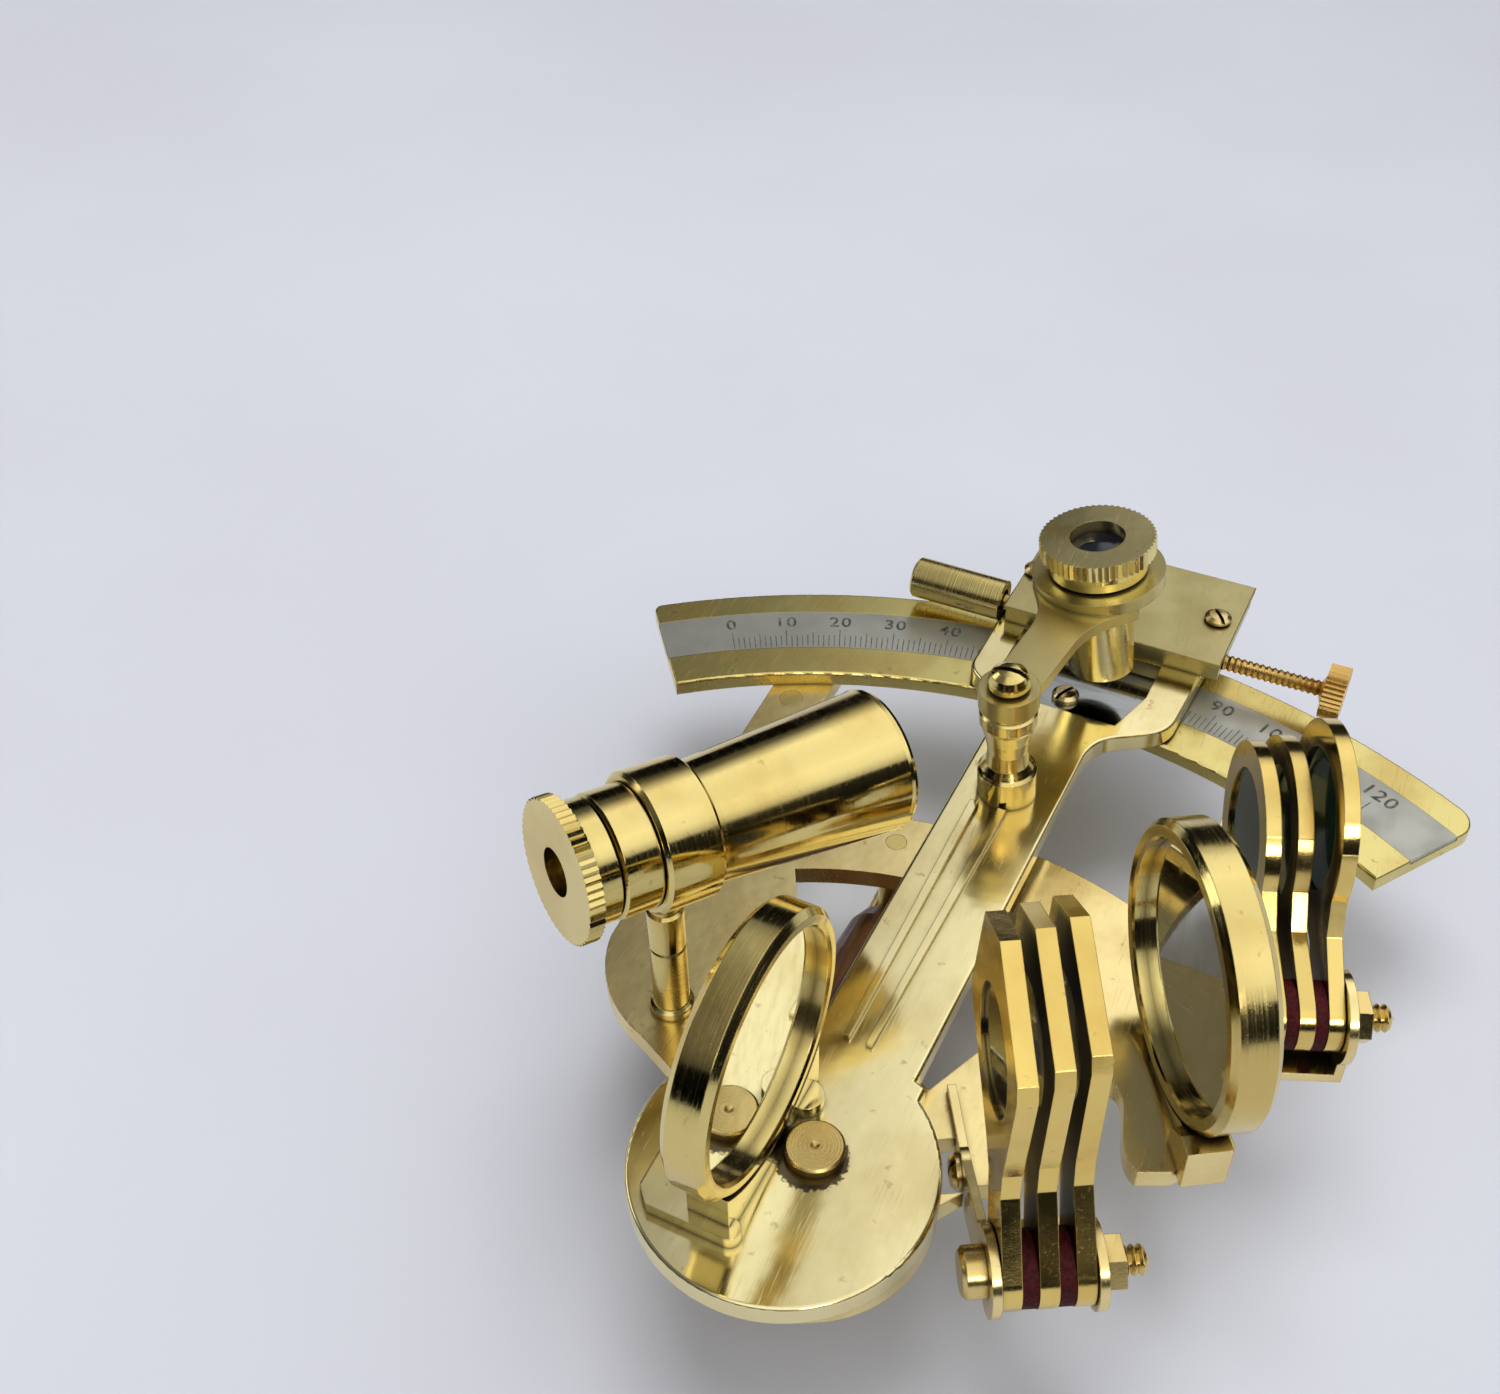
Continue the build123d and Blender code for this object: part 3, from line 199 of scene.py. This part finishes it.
def brass(name, fresh=FRESH, dull=WARM, shine=(0.14, 0.30), grain=0.0, grain_turn=0.0, shade_and_grime=0.8,
          reach=1.3, turned=None, rings=0.3, waviness=0.15, blotches=0.5, scorch=None, edge=0.16):
    """Polished brass with buffing scratches, handling stains, dark corners and soft edges.

    shine is the roughness of bright and of dull patches, and blotches how strong the dull ones
    are. grain is the extra depth of the scratches, grain_turn their direction in degrees and
    waviness the depth of the slow swell. shade_and_grime sets how strongly corners within reach
    mm are darkened, which is partly grime and partly painted shade. A turned part has its axis
    in turned and the depth of its tool marks in rings. scorch is the radius in mm of the grime
    round the pivot, and edge the radius in mm of the softened edges.
    """
    look = Look(name, Metallic=1.0, IOR=1.5)
    patches = look.noise(95.0, 5.0)
    spots = look.noise(640.0, 3.0)
    scratches = look.noise(1.0, 2.0, stretch=(5200.0, 240.0, 5200.0),
                           turn=(0, 0, radians(grain_turn)))
    cross_scratches = look.noise(1.0, 2.0, stretch=(300.0, 6400.0, 6400.0),
                                 turn=(0, 0, radians(grain_turn + 24)))
    corners = look.crevices(reach * MM)
    worn = look.ramp(patches, 0.42, 0.68, 0.0, blotches)
    base = look.mix(worn, fresh, dull)
    fleck = look.ramp(spots, 0.66, 0.76, 0.0, 0.45)
    base = look.mix(fleck, base, TARNISH)
    # Corners and gaps are darkened from the occlusion mask: partly grime, partly painted shade.
    base = look.mix(look.math("MULTIPLY", corners, shade_and_grime), base, STAIN_AND_SHADE)
    if scorch:
        base = look.mix(look.ring_of_grime(scorch * MM), base, STAIN_AND_SHADE)
    rough = look.ramp(patches, 0.3, 0.75, shine[0], shine[1])
    rough = look.math("ADD", rough, look.ramp(scratches, 0.55, 0.75, 0.0, 0.10))
    rough = look.math("ADD", rough, look.math("MULTIPLY", corners, 0.25))
    soft_edge = look.add("ShaderNodeBevel", {"Radius": edge * MM}, samples=4).outputs[0]
    swell = look.bump(look.noise(210.0, 2.0), waviness, 0.25 * MM, soft_edge)
    marks = look.math("ADD", scratches, cross_scratches)
    normal = look.bump(marks, 0.04 + grain, 0.02 * MM, swell)
    links = {}
    if turned:
        lathe, offset = look.round_about(turned)
        tool = look.noise(5200.0, 2.0, place=lathe)
        normal = look.bump(tool, rings, 0.04 * MM, normal)
        look.shader.inputs["Anisotropic"].default_value = 0.55
        round_way = look.vector("CROSS_PRODUCT", tuple(turned[1]), offset)
        links["Tangent"] = look.vector("NORMALIZE", round_way)
        rough = look.math("ADD", rough, look.ramp(tool, 0.35, 0.7, 0.0, 0.07))
    return look.finish(Base_Color=base, Roughness=rough, Normal=normal, **links)


def glass(name, tint, clear, rough=0.03):
    """Ground and polished glass with faint wiping smears and a little dust."""
    look = Look(name, IOR=1.52, Transmission_Weight=clear, Specular_IOR_Level=0.6)
    smears = look.noise(1.0, 3.0, stretch=(160.0, 700.0, 400.0), turn=(0.4, 0.2, 0.6))
    dust = look.ramp(look.noise(2600.0, 2.0), 0.68, 0.8)
    base = look.mix(look.math("MULTIPLY", dust, 0.12), tint, colour(0.5, 0.5, 0.48))
    roughness = look.math("ADD", look.ramp(smears, 0.35, 0.8, rough, rough + 0.09),
                          look.math("MULTIPLY", dust, 0.25))
    normal = look.bump(smears, 0.04, 0.02 * MM)
    return look.finish(Base_Color=base, Roughness=roughness, Normal=normal)


def mirror(name, bright, hazy, rough=0.02):
    """Silvered or polished face, with haze, wiping smears and specks."""
    look = Look(name, Metallic=1.0)
    smears = look.noise(1.0, 4.0, stretch=(120.0, 520.0, 260.0), turn=(0.3, 0.5, 0.2))
    specks = look.ramp(look.noise(2200.0, 2.0), 0.7, 0.78)
    base = look.mix(look.ramp(smears, 0.4, 0.75, 0.0, 0.7), bright, hazy)
    base = look.mix(look.math("MULTIPLY", specks, 0.5), base, colour(0.3, 0.29, 0.26))
    roughness = look.ramp(smears, 0.4, 0.8, rough, rough + 0.11)
    normal = look.bump(smears, 0.05, 0.02 * MM)
    return look.finish(Base_Color=base, Roughness=roughness, Normal=normal)


def silver(name):
    """Silvered brass strip: pale grey, brushed along its length, with watery stains."""
    look = Look(name, Metallic=0.75, IOR=1.5)
    clouds = look.noise(120.0, 5.0)
    brushed, _ = look.round_about((Vector((0, 0, 0)), UP))
    lines = look.noise(4200.0, 2.0, place=brushed)
    drips = look.noise(1.0, 4.0, stretch=(520.0, 130.0, 300.0))
    base = look.mix(look.ramp(clouds, 0.35, 0.7), colour(0.49, 0.49, 0.43),
                    colour(0.38, 0.38, 0.33))
    base = look.mix(look.ramp(drips, 0.6, 0.75, 0.0, 0.35), base, colour(0.36, 0.36, 0.34))
    # Corners are darkened from the occlusion mask: partly grime, partly painted shade.
    corner_grime_and_shade = look.math("MULTIPLY", look.crevices(0.8 * MM), 0.5)
    base = look.mix(corner_grime_and_shade, base, colour(0.2, 0.17, 0.12))
    rough = look.ramp(clouds, 0.3, 0.75, 0.30, 0.46)
    normal = look.bump(lines, 0.12, 0.03 * MM)
    normal = look.bump(drips, 0.15, 0.05 * MM, normal)
    return look.finish(Base_Color=base, Roughness=rough, Normal=normal)


def fibre(name):
    """Dark red vulcanised fibre, pressed from layers, with a fuzzy cut rim."""
    look = Look(name, IOR=1.4, Specular_IOR_Level=0.3)
    layers = look.noise(1.0, 3.0, stretch=(3400.0, 1500.0, 3400.0), turn=(0, 0, radians(28)))
    lint = look.noise(1900.0, 3.0)
    base = look.mix(look.ramp(layers, 0.35, 0.7), colour(0.085, 0.008, 0.009),
                    colour(0.035, 0.004, 0.005))
    base = look.mix(look.ramp(lint, 0.62, 0.8, 0.0, 0.5), base, colour(0.15, 0.03, 0.022))
    # Corners are darkened from the occlusion mask: partly grime, partly painted shade.
    corner_grime_and_shade = look.math("MULTIPLY", look.crevices(1.0 * MM), 0.6)
    base = look.mix(corner_grime_and_shade, base, colour(0.012, 0.004, 0.004))
    normal = look.bump(look.math("ADD", layers, lint), 0.5, 0.08 * MM)
    rough = look.ramp(lint, 0.3, 0.7, 0.55, 0.8)
    return look.finish(Base_Color=base, Roughness=rough, Normal=normal)


def wood(name):
    """Dark varnished hardwood with long grain along the handle."""
    look = Look(name, IOR=1.5, Coat_Weight=0.5, Coat_Roughness=0.12)
    grain = look.noise(1.0, 4.0, stretch=(900.0, 60.0, 900.0))
    pores = look.noise(1.0, 2.0, stretch=(5200.0, 300.0, 5200.0))
    base = look.mix(look.ramp(grain, 0.35, 0.65), colour(0.075, 0.028, 0.012),
                    colour(0.20, 0.085, 0.035))
    base = look.mix(look.ramp(pores, 0.6, 0.72, 0.0, 0.8), base, colour(0.02, 0.008, 0.004))
    normal = look.bump(pores, 0.25, 0.05 * MM)
    rough = look.ramp(grain, 0.3, 0.7, 0.28, 0.42)
    return look.finish(Base_Color=base, Roughness=rough, Normal=normal)


def ink(name):
    """Worn black filling of engraved marks."""
    look = Look(name, IOR=1.45)
    wear = look.noise(1500.0, 4.0)
    base = look.mix(look.ramp(wear, 0.42, 0.62), colour(0.06, 0.06, 0.055),
                    colour(0.17, 0.17, 0.16))
    rough = look.ramp(wear, 0.3, 0.7, 0.5, 0.75)
    normal = look.bump(wear, 0.4, 0.02 * MM)
    return look.finish(Base_Color=base, Roughness=rough, Normal=normal)


# ---- axes of the turned parts -----------------------------------------------------
def joint_axis(name, node=None):
    """A joint's axis; a slide's runs through the middle of the node named."""
    joint = JOINTS[name]
    if node:
        low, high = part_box(node)
        return (low + high) / 2, Vector(joint["axis"]).normalized()
    return Vector(joint["pos_m"]), Vector(joint["axis"]).normalized()


def disc_axis(name):
    """Centre and axis of a thin round node, from its mesh."""
    points = np.array([v.co for v in NODES[name].data.vertices])
    low, high = points.min(0), points.max(0)
    centre = (low + high) / 2
    _, _, ways = np.linalg.svd(points - points.mean(0), full_matrices=False)
    return Vector(centre), Vector(ways[2])


def upright(name):
    """Vertical axis through the middle of a node."""
    low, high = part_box(name)
    centre = (low + high) / 2
    return Vector((centre.x, centre.y, 0)), UP


# ---- materials of the CAD nodes ---------------------------------------------------
sight_axis = joint_axis("eyepiece_draw", "objective_lens")
tube_axis = joint_axis("magnifier_focus", "magnifier_lens")
pillar_axis = joint_axis("magnifier_swing")
tangent_axis = joint_axis("tangent_screw_turn")
SATIN = dict(shine=(0.26, 0.40), waviness=0.12, blotches=0.35)
CAST = dict(fresh=colour(0.86, 0.71, 0.34), dull=colour(0.68, 0.50, 0.19), shine=(0.15, 0.28),
            waviness=0.22)
# Rings and shades get strong, wide corner darkening: painted shade in the bores and between the
# plates, with some grime.
RING = dict(rings=0.07, shine=(0.05, 0.14), shade_and_grime=1.0, reach=2.2, waviness=0.2)
SHADE = dict(grain=0.12, shade_and_grime=1.0, reach=4.5, shine=(0.08, 0.20))

looks = {
    ("frame_plate",): brass("frame_brass", **CAST),
    ("limb",): brass(
        "limb_brass", fresh=colour(0.74, 0.64, 0.26), shine=(0.17, 0.28), grain=0.05,
        waviness=0.12),
    ("index_arm", "index_mirror_foot"): brass(
        "arm_brass", fresh=colour(0.86, 0.76, 0.42), dull=colour(0.74, 0.60, 0.28),
        shine=(0.10, 0.22), grain=0.03, grain_turn=-3.0, waviness=0.12, scorch=3.1),
    ("tangent_cover", "tangent_block", "clamp_jaw"): brass(
        "housing_brass", fresh=colour(0.55, 0.48, 0.23), dull=colour(0.48, 0.40, 0.17), **SATIN),
    ("magnifier_arm",): brass(
        "swing_arm_brass", fresh=colour(0.64, 0.55, 0.25), turned=pillar_axis, rings=0.1, **SATIN),
    ("magnifier_tube",): brass(
        "magnifier_brass", fresh=colour(0.88, 0.77, 0.38), turned=tube_axis, edge=0.06,
        rings=0.12, shine=(0.12, 0.24)),
    ("magnifier_pillar", "pillar_screw"): brass(
        "pillar_brass", turned=pillar_axis, shine=(0.07, 0.16)),
    ("telescope_barrel", "telescope_collar", "draw_tube", "eyepiece_cap"): brass(
        "telescope_brass", turned=sight_axis, edge=0.06, shine=(0.05, 0.14), rings=0.06,
        waviness=0.08),
    ("telescope_post",): brass("post_brass", turned=upright("telescope_post"), shine=(0.12, 0.25)),
    ("pivot_shaft", "pivot_nut"): brass(
        "stud_brass", fresh=colour(0.62, 0.48, 0.20), turned=upright("pivot_shaft"),
        shine=(0.2, 0.34), rings=0.5),
    ("pivot_bush",): brass("bush_brass", turned=upright("pivot_shaft"), shine=(0.2, 0.34)),
    ("horizon_mirror_cell",): brass(
        "horizon_ring_brass", turned=disc_axis("horizon_mirror_glass"), **RING),
    ("index_mirror_cell",): brass(
        "index_ring_brass", turned=disc_axis("index_mirror_glass"), **RING),
    ("horizon_mirror_foot", "horizon_shade_bracket", "index_shade_bracket"): brass(
        "bracket_brass", shade_and_grime=1.0, reach=2.5, **CAST),
    ("index_shade_1", "index_shade_2", "index_shade_3"): brass(
        "index_shade_brass", fresh=colour(0.82, 0.62, 0.20), dull=colour(0.64, 0.42, 0.11),
        grain_turn=40.0, **SHADE),
    ("horizon_shade_1", "horizon_shade_2", "horizon_shade_3"): brass(
        "horizon_shade_brass", fresh=colour(0.78, 0.60, 0.21), dull=colour(0.60, 0.40, 0.11),
        grain_turn=-20.0, **SHADE),
    ("shade_bolts", "shade_nuts"): brass(
        "bolt_brass", fresh=colour(0.74, 0.58, 0.24), shine=(0.15, 0.3), grain=0.2, shade_and_grime=1.0),
    ("tangent_screw",): brass(
        "tangent_screw_brass", fresh=colour(0.78, 0.52, 0.18), turned=tangent_axis, edge=0.06,
        shine=(0.2, 0.36)),
    ("spring_barrel", "spring_plunger"): brass(
        "spring_brass", turned=tangent_axis, shine=(0.14, 0.3)),
    ("clamp_screw",): brass("clamp_brass", turned=upright("clamp_screw")),
    ("cover_screws", "vernier_screw", "bracket_screws", "limb_screws"): brass(
        "screw_brass", fresh=colour(0.80, 0.64, 0.33), shine=(0.16, 0.3), grain=0.2, shade_and_grime=1.0),
    ("limb_feet", "apex_foot", "handle_post", "handle_rod"): brass(
        "foot_brass", shine=(0.14, 0.3)),
    ("scale_strip",): silver("scale_silver"),
    ("vernier_plate",): mirror(
        "vernier_metal", colour(0.34, 0.35, 0.35), colour(0.22, 0.22, 0.21), 0.09),
    ("index_mirror_glass", "horizon_mirror_glass"): mirror(
        "mirror_silver", colour(0.86, 0.87, 0.84), colour(0.70, 0.70, 0.65)),
    ("index_shade_1_glass", "index_shade_2_glass", "index_shade_3_glass"): glass(
        "index_shade_glass", colour(0.012, 0.016, 0.022), 0.35),
    ("horizon_shade_1_glass", "horizon_shade_2_glass", "horizon_shade_3_glass"): glass(
        "horizon_shade_glass", colour(0.02, 0.055, 0.035), 0.5),
    # The lens tint is nearly black and lets little light through: painted shade for the dark
    # inside of the tubes behind the lenses.
    ("magnifier_lens", "objective_lens", "eye_lens"): glass(
        "lens_glass", colour(0.012, 0.014, 0.02), 0.12, 0.05),
    ("shade_washers",): fibre("washer_fibre"),
    ("handle_grip",): wood("grip_wood"),
}

dressed = set()
for names, material in looks.items():
    for name in names:
        node = NODES[name]
        node.data.materials.clear()
        node.data.materials.append(material)
        dressed.add(name)
undressed = sorted(set(NODES) - dressed)
assert not undressed, undressed


# ---- engraved divisions -----------------------------------------------------------
INLAY_DEPTH = 0.02 * MM
INLAY_PROUD = 0.012 * MM       # how far an inlay stands above the metal
SCALE_START = -30.0            # azimuth of the zero division
SCALE_STEP = 0.5               # azimuth between divisions
SCALE_LAST = 120               # number of the last division
SCALE_TICKS = 83.1 * MM        # radius where the divisions start
SCALE_DIGITS = 87.5 * MM       # radius of the baseline of the figures
SCALE_DIGIT_SIZE = 2.9 * MM
SCALE_LINE = 0.13 * MM         # width of a division
VERNIER_MIDDLE = 2.9           # azimuth of the index arm at rest
VERNIER_STEP = 0.92            # azimuth between divisions
VERNIER_SIDE = 6               # divisions to each side of the middle one
VERNIER_EDGE = 84.1 * MM       # radius where the divisions end
VERNIER_LINE = 0.07 * MM
scale_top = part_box("scale_strip")[1].z + INLAY_PROUD
vernier_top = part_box("vernier_plate")[1].z + INLAY_PROUD
scale_ink = ink("scale_ink")


def link_mesh(name, mesh, material):
    """Object in the scene, made from a bmesh, which is freed."""
    data = bpy.data.meshes.new(name)
    mesh.to_mesh(data)
    mesh.free()
    data.materials.append(material)
    made = bpy.data.objects.new(name, data)
    bpy.context.scene.collection.objects.link(made)
    return made


def mesh_object(name, body, material, build):
    """Piece that a function builds, riding on a body, with the finish of a material slot."""
    mesh = bmesh.new()
    build(mesh)
    piece = link_mesh(name, mesh, material)
    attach(piece, body)


def groove(mesh, place, width, length):
    """Filled groove with rounded ends, lying in the plane of a matrix."""
    half = width / 2
    ends = []
    for middle, start in ((length - half, 0.0), (half, pi)):
        for k in range(5):
            angle = start + k * pi / 4
            ends.append(Vector((half * cos(angle), middle + half * sin(angle), 0)))
    top = [mesh.verts.new(place @ p) for p in ends]
    low = [mesh.verts.new(place @ (p - Vector((0, 0, INLAY_DEPTH)))) for p in ends]
    mesh.faces.new(top)
    mesh.faces.new(low[::-1])
    for k in range(len(top)):
        mesh.faces.new((top[k - 1], low[k - 1], low[k], top[k]))


def on_arc(azimuth, radius, height):
    """Matrix at a place on an arc round the pivot, x clockwise and y outwards."""
    turn = Matrix.Rotation(-radians(azimuth), 4, "Z")
    return turn @ Matrix.Translation(Vector((0, radius, height)))


def scale_ticks(mesh):
    for unit in range(SCALE_LAST + 1):
        length = 3.6 * MM if unit % 10 == 0 else 3.0 * MM if unit % 5 == 0 else 2.4 * MM
        place = on_arc(SCALE_START + unit * SCALE_STEP, SCALE_TICKS, scale_top)
        groove(mesh, place, SCALE_LINE, length)


def figures(mesh, labels, size):
    """Stamped numbers, each centred on its place."""
    for text, place in labels:
        curve = bpy.data.curves.new("figure", "FONT")
        curve.body = text
        curve.size = size
        curve.align_x = "CENTER"
        curve.extrude = INLAY_DEPTH / 2
        curve.offset = 0.04 * MM
        curve.space_character = 1.15
        holder = bpy.data.objects.new("figure", curve)
        bpy.context.scene.collection.objects.link(holder)
        bpy.context.view_layer.update()
        shape = bpy.data.meshes.new_from_object(holder)
        shape.transform(place)
        mesh.from_mesh(shape)
        bpy.data.objects.remove(holder)
        bpy.data.meshes.remove(shape)
        bpy.data.curves.remove(curve)


def scale_figures(mesh):
    labels = []
    for unit in range(0, SCALE_LAST + 1, 10):
        place = on_arc(SCALE_START + unit * SCALE_STEP, SCALE_DIGITS, scale_top)
        labels.append((str(unit), place))
    figures(mesh, labels, SCALE_DIGIT_SIZE)


def vernier_ticks(mesh):
    """Finer divisions, which face the scale across the far edge of their plate."""
    for unit in range(-VERNIER_SIDE, VERNIER_SIDE + 1):
        length = 2.0 * MM if unit % 6 == 0 else 1.6 * MM if unit % 3 == 0 else 1.2 * MM
        place = on_arc(VERNIER_MIDDLE + unit * VERNIER_STEP, VERNIER_EDGE - length, vernier_top)
        groove(mesh, place, VERNIER_LINE, length)


mesh_object("scale_divisions", "frame", scale_ink, scale_ticks)
mesh_object("scale_numbers", "frame", scale_ink, scale_figures)
mesh_object("vernier_divisions", "index_arm", scale_ink, vernier_ticks)


# ---- floor, light and picture -----------------------------------------------------
FLOOR_SIZE = 2.0
WALL_RADIUS = 1.9
WALL_HEIGHT = 3.0
WALL_MIDDLE = 1.45             # height of its middle
LAMP_TARGET = Vector((0.0, 0.04, 0.02))
SKY_SIDES = (-0.34, -0.10, 0.26, 1.75)     # X of a direction from, to; strength from, to
SKY_LEVELS = [(0.0, 0.006), (0.16, 0.008), (0.41, 0.015), (0.46, 0.38), (0.62, 0.66),
              (0.80, 0.74), (1.0, 0.60)]   # Z of a direction (0 is level, 1 straight up), grey


def floor():
    mesh = bmesh.new()
    bmesh.ops.create_grid(mesh, x_segments=24, y_segments=24, size=FLOOR_SIZE)
    look = Look("floor_board", IOR=1.45, Specular_IOR_Level=0.25)
    clouds = look.noise(7.0, 4.0)
    fine = look.noise(240.0, 3.0)
    base = look.mix(look.ramp(clouds, 0.3, 0.7), colour(0.66, 0.68, 0.74),
                    colour(0.63, 0.64, 0.70))
    rough = look.ramp(fine, 0.3, 0.7, 0.55, 0.65)
    look.finish(Base_Color=base, Roughness=rough, Normal=look.bump(fine, 0.03, 0.1 * MM))
    board = link_mesh("floor", mesh, look.material)


def backdrop():
    """Pale round wall. The brass doesn't mirror it, so the reflections stay those of the sky."""
    mesh = bmesh.new()
    tube = bmesh.ops.create_cone(mesh, segments=96, radius1=WALL_RADIUS, radius2=WALL_RADIUS,
                                 depth=WALL_HEIGHT, cap_ends=False)
    bmesh.ops.translate(mesh, verts=tube["verts"], vec=(0, 0, WALL_MIDDLE))
    pale = colour(0.62, 0.63, 0.69)
    look = Look("backdrop_paper", Base_Color=pale, Emission_Color=pale, Emission_Strength=0.9,
                Roughness=1.0)
    wall = link_mesh("backdrop", mesh, look.material)
    wall.visible_glossy = False
    wall.visible_diffuse = False
    wall.visible_shadow = False


def lamp(name, place, size, power, tint, mirrored=True):
    """Rectangular light turned towards the middle of the object."""
    data = bpy.data.lights.new(name, "AREA")
    data.shape = "RECTANGLE"
    data.size = size[0]
    data.size_y = size[1]
    data.energy = power
    data.color = tint
    light = bpy.data.objects.new(name, data)
    bpy.context.scene.collection.objects.link(light)
    light.location = place
    way = LAMP_TARGET - Vector(place)
    light.rotation_euler = way.to_track_quat("-Z", "Y").to_euler()
    light.visible_glossy = mirrored


def sky():
    """Studio that is dark at the sides, pale overhead, and brighter towards +X."""
    world = bpy.data.worlds.new("studio")
    bpy.context.scene.world = world
    world.use_nodes = True
    tree = world.node_tree
    background = tree.nodes["Background"]
    way = tree.nodes.new("ShaderNodeTexCoord")
    split = tree.nodes.new("ShaderNodeSeparateXYZ")
    ramp = tree.nodes.new("ShaderNodeValToRGB")
    side = tree.nodes.new("ShaderNodeMapRange")
    for socket, value in enumerate(SKY_SIDES, start=1):
        side.inputs[socket].default_value = value
    tree.links.new(way.outputs["Generated"], split.inputs[0])
    tree.links.new(split.outputs["X"], side.inputs[0])
    tree.links.new(split.outputs["Z"], ramp.inputs[0])
    tree.links.new(ramp.outputs[0], background.inputs[0])
    tree.links.new(side.outputs[0], background.inputs[1])
    band = ramp.color_ramp.elements
    for element, (position, level) in zip(band, (SKY_LEVELS[0], SKY_LEVELS[-1])):
        element.position = position
        element.color = colour(level, level, level)
    for position, level in SKY_LEVELS[1:-1]:
        band.new(position).color = colour(level, level, level * 1.02)


floor()
backdrop()
sky()
lamp("ceiling_panel", (-0.05, 0.10, 1.0), (0.5, 0.5), 4.0, (1.0, 0.995, 0.985), mirrored=False)
lamp("left_panel", (-0.75, 0.1, 0.5), (0.5, 0.3), 0.8, (0.98, 0.99, 1.0))
lamp("near_panel", (0.55, -0.6, 0.5), (0.3, 0.2), 1.0, (1.0, 0.98, 0.95))
bpy.context.scene.view_settings.view_transform = "Standard"
bpy.context.scene.view_settings.gamma = 0.92
